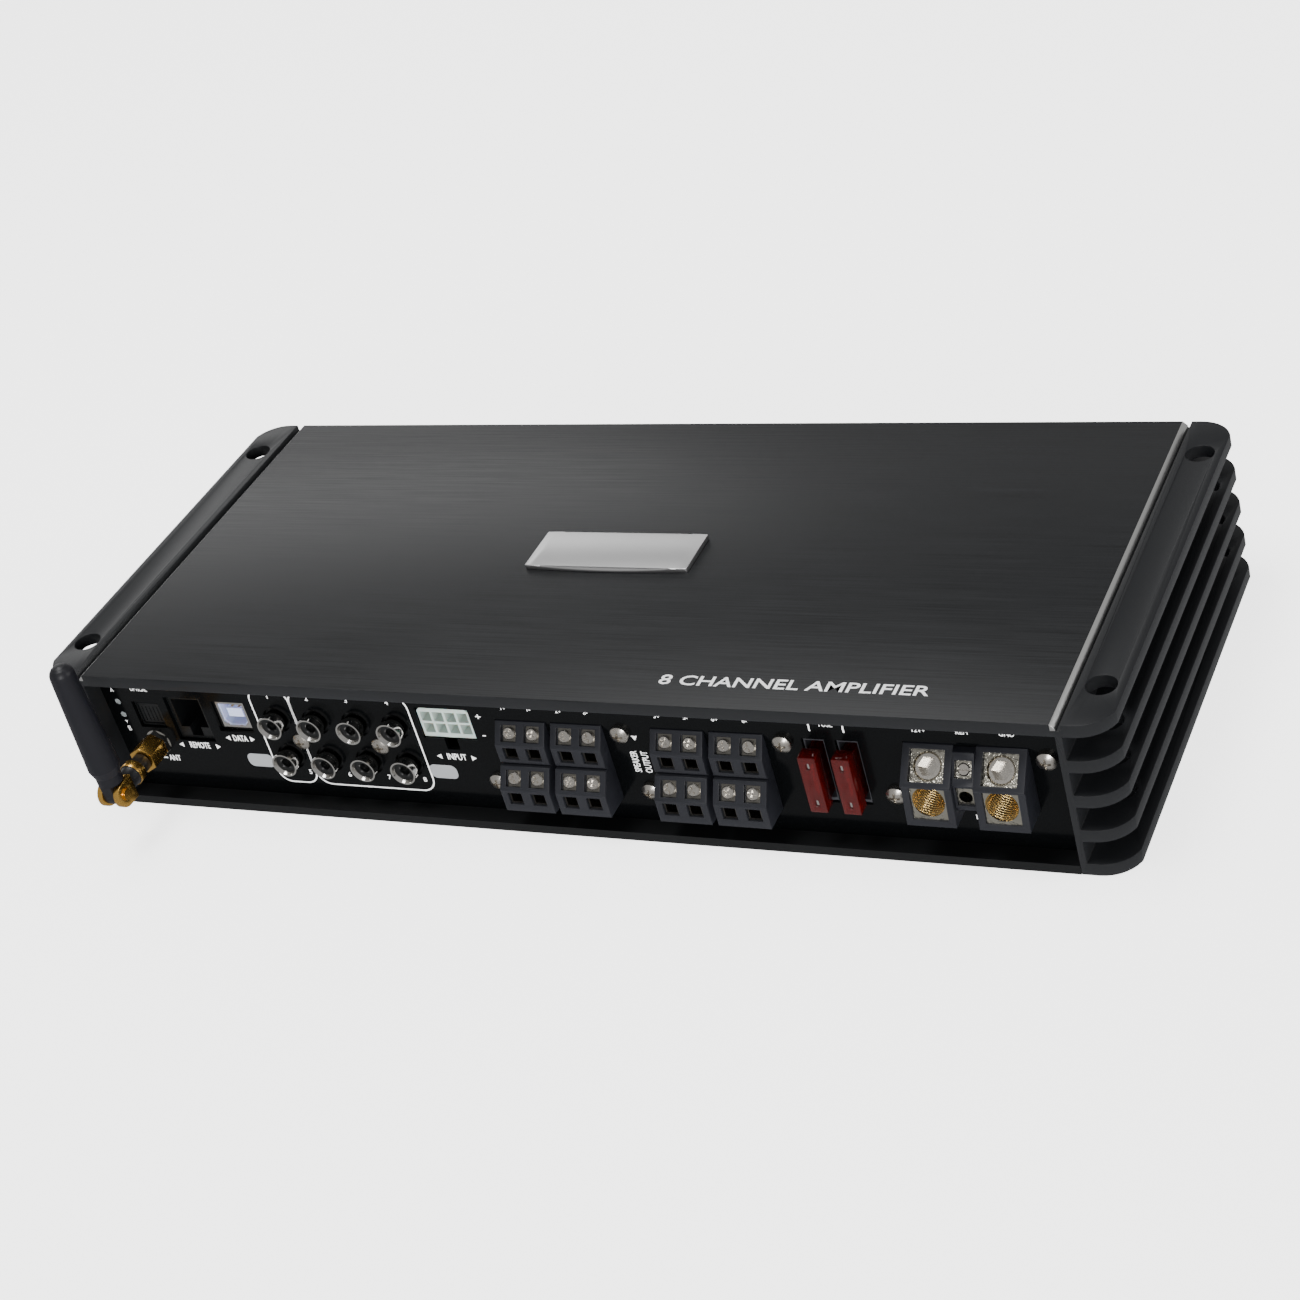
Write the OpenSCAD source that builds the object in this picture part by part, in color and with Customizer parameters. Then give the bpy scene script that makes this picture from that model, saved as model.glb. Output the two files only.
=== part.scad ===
// Eight-channel car amplifier with a finned heatsink, connector panel and short antenna.
// Millimetres. Origin: centre of the four mounting holes, on the underside. +Z up, panel faces -Y.

/* [Case] */
// Width over the side fins
case_w = 342; // [336:1:350]
// Front-to-back length of the heatsink
case_d = 145; // [143:1:160]
// Overall height of the heatsink
case_h = 50.4; // [50:0.2:54]
// Thickness of each side fin
fin_t = 4; // [3:0.5:4.5]
// Number of fins on each side
fin_count = 5; // [4:1:5]
// How far the fins stand out of the side walls
fin_reach = 12.9; // [11:0.1:13.5]
// Thickness of the top plate
top_t = 4; // [3:0.5:4]
// Thickness of the side walls
wall_t = 2; // [1.6:0.2:2]
// Thickness of the bottom plate
bottom_t = 3; // [2.5:0.5:3]
// How far the end panels sit back from the ends of the heatsink
panel_recess = 6.1; // [5:0.1:6.5]
// Thickness of the end panels
panel_t = 1.5; // [1.2:0.1:1.5]

/* [Mounting] */
// Distance between mounting holes across the width
mount_dx = 329; // [327:0.5:331]
// Distance between mounting holes front to back
mount_dy = 110; // [100:1:118]
// Radius of the mounting screw holes in the lowest fins
mount_r = 2.25; // [1.5:0.05:3]
// Radius of the screwdriver holes in the fins above
access_r = 4.25; // [3.5:0.05:4.5]

/* [Connectors] */
// Distance between neighbouring signal jacks
jack_pitch = 14.17; // [13.8:0.01:14.4]
// Radius of the rim of a signal jack
jack_r = 4.15; // [4:0.05:4.3]
// Width of one two-way speaker block
speaker_block_w = 16.3; // [16:0.1:17]
// Distance between the two screws of a speaker block
speaker_way = 7.62; // [7.4:0.01:7.8]
// Radius of the wire hole in a main power terminal
power_wire_r = 4.6; // [3.5:0.1:4.7]
// Radius of a main power set screw
power_screw_r = 4; // [3:0.1:4.2]

/* [Antenna] */
// Length of the whip above its pivot
whip_len = 49; // [35:1:70]
// Radius of the whip near its base
whip_r = 5; // [4.4:0.1:5.2]
// Radius of the whip at its tip
whip_tip_r = 3.9; // [3:0.1:4.2]

/* [Hidden] */
$fn = 48;

eps = 0.01;
case_black = "#1c1d1f";
plastic_black = "#17181a";
plastic_grey = "#303136";
silver = "#c9c9c6";
gold = "#c99a3c";
board_green = "#1e4d33";

// Case positions
wall_x = case_w / 2 - fin_reach;
inner_x = wall_x - wall_t;
plate_edge_x = wall_x - 1.4;
front_y = -case_d / 2;
panel_y = front_y + panel_recess;
panel_back_y = panel_y + panel_t;
fin_pitch = (case_h - fin_t) / (fin_count - 1);
ceiling_z = case_h - top_t;
bevel = 1.4;
groove_depth = 2;
corner_r = 10.5;
corner_cx = case_w / 2 - 10;
corner_cy = case_d / 2 - corner_r;
flange_t = 1.5;
flange_d = 11;
side_gap = 0.1;

// Screws
m3_r = 1.5;
m3_hole_r = 1.6;
m3_head_r = 2.8;
m3_head_h = 2.4;
tapped_r = 1.5;
lug_r = 3.6;
boss_r = 3.6;
boss_y = case_d / 2 - 14.5;
boss_x = [-145, -50, 50, 145];
flange_screw_y = case_d / 2 - panel_recess - panel_t - 6;
flange_screw_x = [-120, -20, 20, 120];
rear_screw_x = [-110, -40, 40, 110];
channel_w = 6;
channel_h = 5.8;
front_screws = [
    [-85.9, 25.2], [-57.6, 25.2], [-20.3, 14.3], [25.3, 34.7],
    [29.8, 14.4], [75.4, 34.7], [105.5, 18.8], [150.5, 33.9]
];

// Boards
board_t = 1.6;
main_z = 9;
main_top = main_z + board_t;
main_y0 = panel_back_y + 3.9;
main_y1 = 51;
main_x = 154.5;
dsp_z = 25.2;
dsp_top = dsp_z + board_t;
dsp_x0 = -149;
dsp_x1 = -103;
dsp_y0 = panel_back_y + 2;
dsp_y1 = -14;

// Signal jacks
jack_x0 = -93;
jack_z = [18, 32.2];
jack_proud = 4.5;
jack_rim_len = 2;
jack_tube_r = 3.6;
jack_bore_r = 3.2;
jack_depth = 14;
jack_insulator_p = jack_proud - 1.2;
contact_r = 1.65;
contact_bore_r = 1.1;

// Small ports
usb_x = -109.6;
usb_z = 32.3;
usb_w = 12;
usb_h = 10.9;
usb_depth = 16;
usb_wall = 0.4;
usb_cavity_w = 8.5;
usb_cavity_h = 7.8;
usb_chamfer = 1.6;
remote_x = -126.3;
remote_w = 13.4;
remote_z0 = 22.2;
remote_z1 = 38.6;
remote_cavity_w = 10.4;
remote_slot_w = 4.2;
optical_x = -141.2;
optical_z = 31.4;
optical_size = 9.6;
optical_cavity = 8.2;
shutter_t = 0.8;
hinge_r = 0.5;
hinge_drop = 0.85;
led_x = -151.5;
led_z = [30.9, 36];
led_r = 1.05;
header_x = -32.5;
header_z = 34.4;
header_w = 17.7;
header_h = 10.7;
header_depth = 13;
header_pitch = 4.2;
riser_y = panel_y + 0.5 + header_depth;

// Speaker terminals
speaker_x = [2.5, 52.6];
speaker_col = 9.1;
speaker_z0 = main_top;
speaker_top = 37.1;
speaker_step_z = 12.9;
speaker_step_p = 4.7;
speaker_slope_p = 4;
speaker_slope_z = 6;
speaker_back = 12;
speaker_tilt = atan(speaker_slope_z / speaker_slope_p);
speaker_well = 5;
speaker_wire_w = 4.6;
speaker_wire_h = 4.2;
speaker_screw_r = 1.9;

// Power terminals
supply_x = 118.05;
ground_x = 138.6;
control_x = 128.3;
power_w = 14.2;
control_w = 6.2;
power_top = 37.2;
power_ridge_p = 8.5;
power_ridge_z = 28.8;
power_bottom = 15.9;
power_back = 14;
power_wire_z = 23.4;
control_wire_z = 24.6;
control_wire_r = 1.9;
control_screw_r = 1.75;
screw_fit = 0.06;
pad_t = 1;

// Fuses
fuse_x = [84.4, 94.3];
fuse_z = 25.3;
fuse_proud = 6.5;
fuse_h = 19.1;
fuse_w = 5.1;
fuse_cap_d = 4.4;
fuse_body_d = 12.2;
fuse_neck_h = 16.4;
fuse_neck_w = 3.8;
blade_h = 5.2;
blade_t = 0.65;
blade_len = 8.2;
blade_dz = 6.4;

// Antenna
antenna_x = -141.5;
antenna_z = 21.2;
thread_r = 3;
thread_fit = 0.08;
pivot_p = 26;
pivot_y = panel_y - pivot_p;
tongue_w = 4;
ear_t = 2;
ear_r = 4.2;
pivot_pin_r = 1.2;

// Helpers ------------------------------------------------------------------

// Cylinder along +Y from y0, on the axis at x and z
module y_rod(x, y0, z, r, len) {
    translate([x, y0, z]) rotate([-90, 0, 0]) cylinder(r = r, h = len);
}

// Prism along X, from a list of [proud of the panel, z] points
module panel_prism(x0, x1, points) {
    translate([x0, panel_y, 0])
        rotate([90, 0, 90])
            linear_extrude(x1 - x0)
                polygon([for (q = points) [-q[0], q[1]]]);
}

// Pan-head screw with a cross recess, head outwards along -Y
module pan_screw_y(x, y, z, len) {
    difference() {
        union() {
            y_rod(x, y, z, m3_r, len);
            translate([x, y, z]) rotate([90, 0, 0]) pan_head();
        }
        translate([x, y - m3_head_h, z]) rotate([90, 0, 0]) cross_recess();
    }
}

module pan_head() {
    rotate_extrude()
        intersection() {
            square([m3_head_r, m3_head_h]);
            translate([0, m3_head_h - 4.2]) circle(r = 4.2);
        }
}

module cross_recess() {
    for (turn = [0, 90])
        rotate([0, 0, turn]) translate([-1.5, -0.35, -1.2]) cube([3, 0.7, 2]);
}

// Countersunk screw pointing up, head at z = 0
module countersunk_screw(x, y, len) {
    translate([x, y, 0.1])
        difference() {
            union() {
                cylinder(r1 = m3_head_r, r2 = m3_r, h = 1.8);
                translate([0, 0, 1.8]) cylinder(r = m3_r, h = len - 1.8);
            }
            translate([0, 0, -0.2]) cross_recess();
        }
}

// Outline of the case seen from above, with rounded corners
module plan_outline() {
    corner = [for (a = [0:10:90]) [corner_cx + corner_r * cos(a), corner_cy + corner_r * sin(a)]];
    intersection() {
        square([case_w, case_d], center = true);
        union() {
            for (sx = [-1, 1], sy = [-1, 1])
                mirror_corner(sx, sy)
                    polygon(concat([[0, 0], [corner_cx + corner_r, 0]], corner, [[0, case_d / 2]]));
        }
    }
}

module mirror_corner(sx, sy) {
    mirror([sx < 0 ? 1 : 0, 0]) mirror([0, sy < 0 ? 1 : 0]) children();
}

// Case ---------------------------------------------------------------------

module heatsink() {
    color(case_black)
        difference() {
            union() {
                translate([-wall_x, front_y, ceiling_z]) cube([2 * wall_x, case_d, top_t]);
                for (side = [-1, 1]) {
                    translate([side > 0 ? inner_x : -wall_x, front_y, 0])
                        cube([wall_t, case_d, ceiling_z + 1]);
                    for (i = [0:fin_count - 1]) heatsink_fin(side, i * fin_pitch);
                }
                for (x = boss_x)
                    translate([x, boss_y, bottom_t]) cylinder(r = boss_r, h = ceiling_z - bottom_t + 1);
                for (x = rear_screw_x)
                    translate([x - channel_w / 2, panel_back_y, ceiling_z - channel_h])
                        cube([channel_w, -2 * panel_back_y, channel_h + 1]);
            }
            for (side = [-1, 1]) top_groove(side);
            for (sx = [-1, 1], sy = [-1, 1]) {
                translate([sx * mount_dx / 2, sy * mount_dy / 2, -1]) cylinder(r = mount_r, h = fin_t + 2);
                translate([sx * mount_dx / 2, sy * mount_dy / 2, fin_t + 1])
                    cylinder(r = access_r, h = case_h);
            }
            for (x = boss_x) translate([x, boss_y, 0]) cylinder(r = tapped_r, h = bottom_t + 9);
            for (x = rear_screw_x) y_rod(x, -panel_back_y - 9, rear_screw_z(), tapped_r, 12);
        }
}

function rear_screw_z() = ceiling_z - channel_h / 2;

module heatsink_fin(side, z) {
    translate([0, 0, z])
        linear_extrude(fin_t)
            intersection() {
                plan_outline();
                translate([side > 0 ? wall_x - 0.5 : -case_w / 2, front_y])
                    square([fin_reach + 0.5, case_d]);
            }
}

// Diamond-cut bevel and shadow groove beside the top plate
module top_groove(side) {
    mirror([side > 0 ? 0 : 1, 0, 0])
        translate([0, case_d, 0])
            rotate([90, 0, 0])
                linear_extrude(2 * case_d)
                    polygon([
                        [plate_edge_x - bevel, case_h + eps],
                        [plate_edge_x, case_h - bevel],
                        [plate_edge_x, case_h - groove_depth],
                        [wall_x - 0.1, case_h - groove_depth],
                        [wall_x - 0.1, case_h + 1],
                        [plate_edge_x - bevel, case_h + 1]
                    ]);
}

module bottom_plate() {
    color(case_black)
        difference() {
            translate([-inner_x + side_gap, front_y, 0]) cube([2 * (inner_x - side_gap), case_d, bottom_t]);
            for (x = boss_x) bottom_hole(x, boss_y);
            for (x = flange_screw_x, s = [-1, 1]) bottom_hole(x, s * flange_screw_y);
            for (p = standoff_points()) bottom_hole(p[0], p[1]);
        }
}

module bottom_hole(x, y) {
    translate([x, y, -eps]) {
        cylinder(r1 = m3_head_r + 0.1, r2 = m3_hole_r, h = 2);
        cylinder(r = m3_hole_r, h = bottom_t + 1);
    }
}

module bottom_screws() {
    color(silver) {
        for (x = boss_x) countersunk_screw(x, boss_y, bottom_t + 7);
        for (x = flange_screw_x, s = [-1, 1])
            countersunk_screw(x, s * flange_screw_y, bottom_t + flange_t + 2);
        for (p = standoff_points()) countersunk_screw(p[0], p[1], bottom_t + 2.4);
    }
}

// Vertical sheet with a foot that lies on the bottom plate; s = -1 front, 1 rear
module end_panel(s) {
    y_face = s < 0 ? panel_y : -panel_back_y;
    translate([-inner_x + side_gap, y_face, bottom_t])
        cube([2 * (inner_x - side_gap), panel_t, ceiling_z - bottom_t - 0.1]);
    difference() {
        translate([-inner_x + 4, s < 0 ? panel_back_y - eps : -panel_back_y - flange_d, bottom_t])
            cube([2 * inner_x - 8, flange_d + eps, flange_t]);
        for (x = flange_screw_x) translate([x, s * flange_screw_y, 0]) cylinder(r = tapped_r, h = 10);
        for (x = boss_x) translate([x, boss_y, 0]) cylinder(r = boss_r + 0.3, h = 10);
    }
}

module panel_window(x, z, w, h) {
    translate([x - w / 2, panel_y - 5, z - h / 2]) cube([w, 10 + panel_t, h]);
}

module front_panel() {
    color("#111214")
        difference() {
            end_panel(-1);
            for (x = jack_columns(), z = jack_z) y_rod(x, panel_y - 1, z, jack_r + 0.45, 6);
            for (q = front_screws) y_rod(q[0], panel_y - 1, q[1], m3_hole_r, 6);
            for (z = led_z) y_rod(led_x, panel_y - 1, z, led_r + 0.1, 6);
            y_rod(antenna_x, panel_y - 1, antenna_z, thread_r + 0.2, 6);
            panel_window(usb_x, usb_z, usb_w + 0.6, usb_h + 0.6);
            panel_window(optical_x, optical_z, optical_size + 0.4, optical_size + 0.4);
            panel_window(
                remote_x, (remote_z0 + remote_z1) / 2, remote_w + 0.3, remote_z1 - remote_z0 + 0.3
            );
            panel_window(header_x, header_z, header_w + 0.5, header_h + 0.5);
            panel_window(header_x, header_z - header_h / 2 - 2, 4.4, 4.4);
            for (cx = speaker_x, s = [-1, 1])
                panel_window(cx + s * speaker_col, (speaker_z0 + speaker_top) / 2,
                             speaker_block_w + 0.3, speaker_top - speaker_z0 + 0.3);
            for (x = [supply_x, ground_x])
                panel_window(
                    x, (power_bottom + power_top) / 2, power_w + 0.3, power_top - power_bottom + 0.3
                );
            panel_window(control_x, 28.6, control_w + 0.6, 16.2);
            for (x = fuse_x) panel_window(x, fuse_z, 6.8, 22.2);
        }
}

module rear_panel() {
    color("#111214")
        difference() {
            end_panel(1);
            for (x = rear_screw_x) y_rod(x, -panel_back_y - 1, rear_screw_z(), m3_hole_r, 6);
        }
}

module rear_panel_screws() {
    color("#2a2a2c")
        for (x = rear_screw_x)
            rotate([0, 0, 180]) pan_screw_y(-x, panel_y, rear_screw_z(), 9);
}

module front_panel_screws() {
    color(silver) for (q = front_screws) pan_screw_y(q[0], panel_y, q[1], 7);
}

// Bevelled name plate with gently bowed long edges, fixed to the top plate
module badge() {
    half_w = 27.2;
    half_d = 9;
    bow = 0.9;
    color(silver)
        translate([0, -1.2, case_h])
            intersection() {
                linear_extrude(1.6) badge_outline(half_w, half_d, bow);
                rotate([90, 0, 90])
                    translate([0, 0, -half_w])
                        linear_extrude(2 * half_w)
                            polygon([
                                [-half_d - bow, 0], [half_d + bow, 0], [half_d + bow, 0.9],
                                [half_d + bow - 0.7, 1.6], [-half_d - bow + 0.7, 1.6], [-half_d - bow, 0.9]
                            ]);
            }
}

module badge_outline(half_w, half_d, bow) {
    edge = [for (t = [-1:0.1:1]) [half_w * t, half_d + bow * (1 - t * t)]];
    polygon(concat(edge, [for (q = edge) [-q[0], -q[1]]]));
}

// Signal jacks ---------------------------------------------------------------

function jack_columns() = [for (i = [0:3]) jack_x0 + i * jack_pitch];

// Revolved profile of [distance along -Y from the panel face, radius] points, axis at x and z
module panel_turning(x, z, points) {
    translate([x, panel_y, z])
        rotate([90, 0, 0])
            rotate_extrude()
                polygon([for (q = points) [q[1], q[0]]]);
}

module rca_housings() {
    color(plastic_black)
        for (pair = [0, 1]) {
            cx = jack_x0 + (2 * pair + 0.5) * jack_pitch;
            difference() {
                translate([cx - jack_pitch + 0.15, panel_back_y, main_top])
                    cube([2 * jack_pitch - 0.3, jack_depth, 39.6 - main_top]);
                for (s = [-0.5, 0.5], z = jack_z)
                    y_rod(cx + s * jack_pitch, panel_back_y - 1, z, jack_tube_r, jack_depth - 1);
                y_rod(front_screws[pair][0], panel_back_y - 1, front_screws[pair][1], tapped_r, 8);
            }
        }
}

// Metal sleeve with a rolled rim
module rca_shells() {
    back = -panel_t - jack_depth + 2;
    color(silver)
        for (x = jack_columns(), z = jack_z)
            panel_turning(x, z, [
                [back, jack_bore_r], [back, jack_tube_r],
                [jack_proud - jack_rim_len - 0.6, jack_tube_r], [jack_proud - jack_rim_len, jack_r],
                [jack_proud, jack_r], [jack_proud, jack_r - 0.5], [jack_proud - 1, jack_bore_r]
            ]);
}

module rca_insulators() {
    back = -panel_t - jack_depth + 2;
    color("#202022")
        for (x = jack_columns(), z = jack_z)
            panel_turning(x, z, [
                [back, contact_r], [back, jack_bore_r], [jack_insulator_p, jack_bore_r],
                [jack_insulator_p, contact_r + 0.3], [jack_insulator_p - 0.3, contact_r]
            ]);
}

module rca_contacts() {
    back = -panel_t - jack_depth + 2;
    color(silver)
        for (x = jack_columns(), z = jack_z)
            panel_turning(x, z, [
                [back, 0], [back, contact_r], [1, contact_r], [1.3, contact_r - 0.3],
                [1.3, contact_bore_r], [-7, contact_bore_r], [-7, 0]
            ]);
}

// Small ports ----------------------------------------------------------------

module usb_opening(w, h, chamfer, len) {
    rotate([90, 0, 0])
        linear_extrude(len)
            polygon([
                [-w / 2 + chamfer, -h / 2], [w / 2 - chamfer, -h / 2], [w / 2, -h / 2 + chamfer],
                [w / 2, h / 2], [-w / 2, h / 2], [-w / 2, -h / 2 + chamfer]
            ]);
}

module usb_shell() {
    face_y = panel_y + 1.2;
    color(silver)
        difference() {
            translate([usb_x - usb_w / 2, face_y, usb_z - usb_h / 2]) cube([usb_w, usb_depth, usb_h]);
            translate([usb_x - usb_w / 2 + usb_wall, face_y + 0.5, usb_z - usb_h / 2 + usb_wall])
                cube([usb_w - 2 * usb_wall, usb_depth, usb_h - 2 * usb_wall]);
            translate([usb_x, face_y + 5, usb_z])
                usb_opening(usb_cavity_w + 0.4, usb_cavity_h + 0.4, usb_chamfer, 10);
        }
}

module usb_insert() {
    face_y = panel_y + 1.7;
    inner_w = usb_w - 2 * usb_wall;
    inner_h = usb_h - 2 * usb_wall;
    color("#d8dcec")
        difference() {
            union() {
                difference() {
                    translate([usb_x - inner_w / 2, face_y, usb_z - inner_h / 2])
                        cube([inner_w, usb_depth - 0.5, inner_h]);
                    translate([usb_x, face_y + 9, usb_z])
                        usb_opening(usb_cavity_w, usb_cavity_h, usb_chamfer, 10);
                }
                translate([usb_x - 2.8, face_y + 0.8, usb_z - 1.6]) cube([5.6, 9, 3.2]);
            }
            for (i = usb_lanes()) usb_strip(i, face_y);
        }
}

function usb_lanes() = [[-1.25, 1], [1.25, 1], [-1.25, -1], [1.25, -1]];

module usb_strip(lane, face_y) {
    translate([usb_x + lane[0] - 0.5, face_y + 1.6, usb_z + (lane[1] > 0 ? 1.3 : -1.6 - eps)])
        cube([1, 8, 0.3 + eps]);
}

module usb_contacts() {
    color(gold) for (i = usb_lanes()) usb_strip(i, panel_y + 1.7);
}

module remote_jack() {
    face_y = panel_y + 1.2;
    depth = 15;
    color(plastic_black)
        difference() {
            union() {
                translate([remote_x - remote_w / 2, face_y, remote_z0])
                    cube([remote_w, depth, remote_z1 - remote_z0]);
                translate([remote_x - remote_w / 2 - 1.5, face_y + 4, dsp_top])
                    cube([remote_w + 3, 8, 1.2]);
            }
            translate([remote_x - remote_cavity_w / 2, face_y - 1, remote_z0 + 4.4])
                cube([remote_cavity_w, 12, remote_z1 - remote_z0 - 5.6]);
            translate([remote_x - remote_slot_w / 2, face_y - 1, remote_z0 + 1])
                cube([remote_slot_w, 12, 4]);
        }
}

module remote_contacts() {
    color(gold)
        for (i = [0:5])
            panel_prism(remote_x + (i - 2.5) * 1.02 - 0.2, remote_x + (i - 2.5) * 1.02 + 0.2, [
                [-3, remote_z1 - 1.2], [-3.6, remote_z1 - 1.2],
                [-12.2, remote_z1 - 5.2], [-12.2, remote_z1 - 5.7]
            ]);
}

function hinge_point() = [panel_y + 1.7, optical_z + optical_cavity / 2 - hinge_drop];

module optical_port() {
    face_y = panel_y + 1;
    half = optical_cavity / 2;
    h = hinge_point();
    color(plastic_black)
        difference() {
            translate([optical_x - optical_size / 2, face_y, optical_z - optical_size / 2])
                cube([optical_size, 13, optical_size]);
            translate([optical_x - half, face_y - 1, optical_z - half]) cube([2 * half, 9.4, 2 * half]);
            y_rod(optical_x, face_y + 8, optical_z, 1.1, 3);
            translate([optical_x - optical_size, dsp_y0, dsp_z]) cube([2 * optical_size, 20, board_t]);
            translate([optical_x - half - 0.5, h[0], h[1]])
                rotate([0, 90, 0]) cylinder(r = hinge_r + 0.06, h = 2 * half + 1);
        }
}

module optical_shutter() {
    h = hinge_point();
    w = optical_cavity - 0.3;
    color("#1d1e20")
        difference() {
            union() {
                translate([optical_x - optical_cavity / 2 - 0.4, h[0], h[1]])
                    rotate([0, 90, 0]) cylinder(r = hinge_r, h = optical_cavity + 0.8);
                translate([optical_x - w / 2, h[0] - shutter_t / 2, optical_z - optical_cavity / 2 + 0.2])
                    cube([w, shutter_t, h[1] - optical_z + optical_cavity / 2 - 0.2]);
            }
            for (i = [-2:2])
                translate([optical_x + i * 1.4 - 0.2, h[0] - shutter_t / 2 - 0.1, optical_z - 3.3])
                    cube([0.4, 0.3, 5.6]);
        }
}

module status_leds() {
    color("#cfd6d8") {
        for (z = led_z) y_rod(led_x, panel_y + 0.2, z, led_r, 4.6);
        translate([led_x - 1.3, panel_y + 4.6, dsp_top]) cube([2.6, 4, led_z[1] + 1.3 - dsp_top]);
    }
}

function header_cells() = [
    for (i = [-1.5:1.5], s = [-0.5, 0.5]) [header_x + i * header_pitch, header_z + s * header_pitch]
];

module input_header() {
    cell = 3.3;
    chamfer = 1.2;
    w = header_w / 2;
    h = header_h / 2;
    color("#a9b8b2")
        difference() {
            union() {
                translate([header_x, panel_y + 0.5 + header_depth, header_z])
                    rotate([90, 0, 0])
                        linear_extrude(header_depth)
                            polygon([[-w, -h], [w, -h], [w, h - chamfer], [w - chamfer, h],
                                     [-w + chamfer, h], [-w, h - chamfer]]);
                translate([header_x - 1.8, panel_y + 2.6, header_z - h - 1.4]) cube([3.6, 4, 1.6]);
            }
            for (c = header_cells())
                translate([c[0] - cell / 2, panel_y - 1, c[1] - cell / 2]) cube([cell, 10.5, cell]);
            for (c = header_cells())
                translate([c[0] - 0.55, panel_y, c[1] - 0.55]) cube([1.1, 20, 1.1]);
        }
}

module input_pins() {
    color(gold)
        for (c = header_cells())
            translate([c[0] - 0.55, panel_y + 3, c[1] - 0.55]) cube([1.1, header_depth + 0.5, 1.1]);
}

// Speaker terminals ----------------------------------------------------------

// Places children on a sloping terminal face: local +Z is the outward normal
module on_face(x, p, z, tilt) {
    translate([x, panel_y - p, z]) rotate([tilt, 0, 0]) children();
}

// Point below a sloping face, and point further down the slope, as [proud of the panel, z]
function below(q, tilt, depth) = [q[0] - depth * sin(tilt), q[1] - depth * cos(tilt)];
function downhill(q, tilt, s) = [q[0] + s * cos(tilt), q[1] - s * sin(tilt)];

function speaker_p(row) = 0.3 + row * speaker_step_p;
function speaker_z(row) = speaker_top - row * speaker_step_z;
function speaker_face(row) = [speaker_p(row) + speaker_slope_p / 2, speaker_z(row) - speaker_slope_z / 2];
function speaker_ways() = [for (c = [-1, 1], w = [-0.5, 0.5]) c * speaker_col + w * speaker_way];

function speaker_profile() = [
    [-speaker_back, speaker_z0], [-speaker_back, speaker_top],
    [speaker_p(0), speaker_top],
    [speaker_p(0) + speaker_slope_p, speaker_top - speaker_slope_z],
    [speaker_p(0) + speaker_slope_p, speaker_z(1) + 0.6],
    [speaker_p(0) + speaker_slope_p - 0.8, speaker_z(1) + 0.3],
    [speaker_p(0) + speaker_slope_p - 0.8, speaker_z(1)],
    [speaker_p(1), speaker_z(1)],
    [speaker_p(1) + speaker_slope_p, speaker_z(1) - speaker_slope_z],
    [speaker_p(1) + speaker_slope_p, speaker_z0]
];

// Side outline of one clamp: sloping screw face on top, wire passage below
function speaker_clamp_outline(row) = let (
    c = below(speaker_face(row), speaker_tilt, 1),
    upper = downhill(c, speaker_tilt, -2.3),
    lower = downhill(c, speaker_tilt, 2.3),
    front = speaker_p(row) + speaker_slope_p - 0.8,
    z = speaker_z(row)
) [upper, lower, [front, z - 6.8], [front, z - 11.1], [front - 7.5, z - 11.1], [front - 7.5, z - 5]];

// Screw boss behind the panel, joined to a terminal block on one side
module screw_lug(x, z, toward, len) {
    translate([toward > 0 ? x : x - len, panel_back_y, z - lug_r]) cube([len, 7, 2 * lug_r]);
    y_rod(x, panel_back_y, z, lug_r, 7);
}

module speaker_block(side) {
    cx = speaker_x[side];
    a = front_screws[2 + 2 * side];
    b = front_screws[3 + 2 * side];
    edge = speaker_col + speaker_block_w / 2;
    color(plastic_grey)
        difference() {
            union() {
                for (c = [-1, 1])
                    panel_prism(cx + c * speaker_col - speaker_block_w / 2,
                                cx + c * speaker_col + speaker_block_w / 2, speaker_profile());
                translate([cx - 1.2, panel_y + 3, speaker_z0])
                    cube([2.4, speaker_back - 3, speaker_top - speaker_z0]);
                screw_lug(a[0], a[1], 1, cx - edge - a[0] + 0.5);
                screw_lug(b[0], b[1], -1, b[0] - cx - edge + 0.5);
            }
            for (w = speaker_ways(), row = [0, 1]) speaker_way_cut(cx + w, row);
            for (q = [a, b]) y_rod(q[0], panel_back_y - 1, q[1], tapped_r, 9);
        }
}

module speaker_way_cut(x, row) {
    q = speaker_face(row);
    half = speaker_well / 2;
    on_face(x, q[0], q[1], speaker_tilt)
        translate([-half, -half, -1.01]) cube([speaker_well, speaker_well, 3]);
    translate([x - speaker_wire_w / 2, panel_y - speaker_p(row) - speaker_slope_p - 1, speaker_z(row) - 11.1])
        cube([speaker_wire_w, 3, speaker_wire_h]);
    panel_prism(x - speaker_wire_w / 2, x + speaker_wire_w / 2, speaker_clamp_outline(row));
}

module speaker_block_left() { speaker_block(0); }

module speaker_block_right() { speaker_block(1); }

module speaker_clamps() {
    color(silver)
        for (cx = speaker_x, w = speaker_ways(), row = [0, 1]) {
            q = speaker_face(row);
            difference() {
                panel_prism(cx + w - 2.2, cx + w + 2.2, speaker_clamp_outline(row));
                translate([cx + w - 1.7, panel_y - speaker_p(row) - 6, speaker_z(row) - 10.6])
                    cube([3.4, 20, 3.2]);
                on_face(cx + w, q[0], q[1], speaker_tilt)
                    translate([0, 0, -6.5]) cylinder(r = m3_r, h = 8);
            }
        }
}

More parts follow.
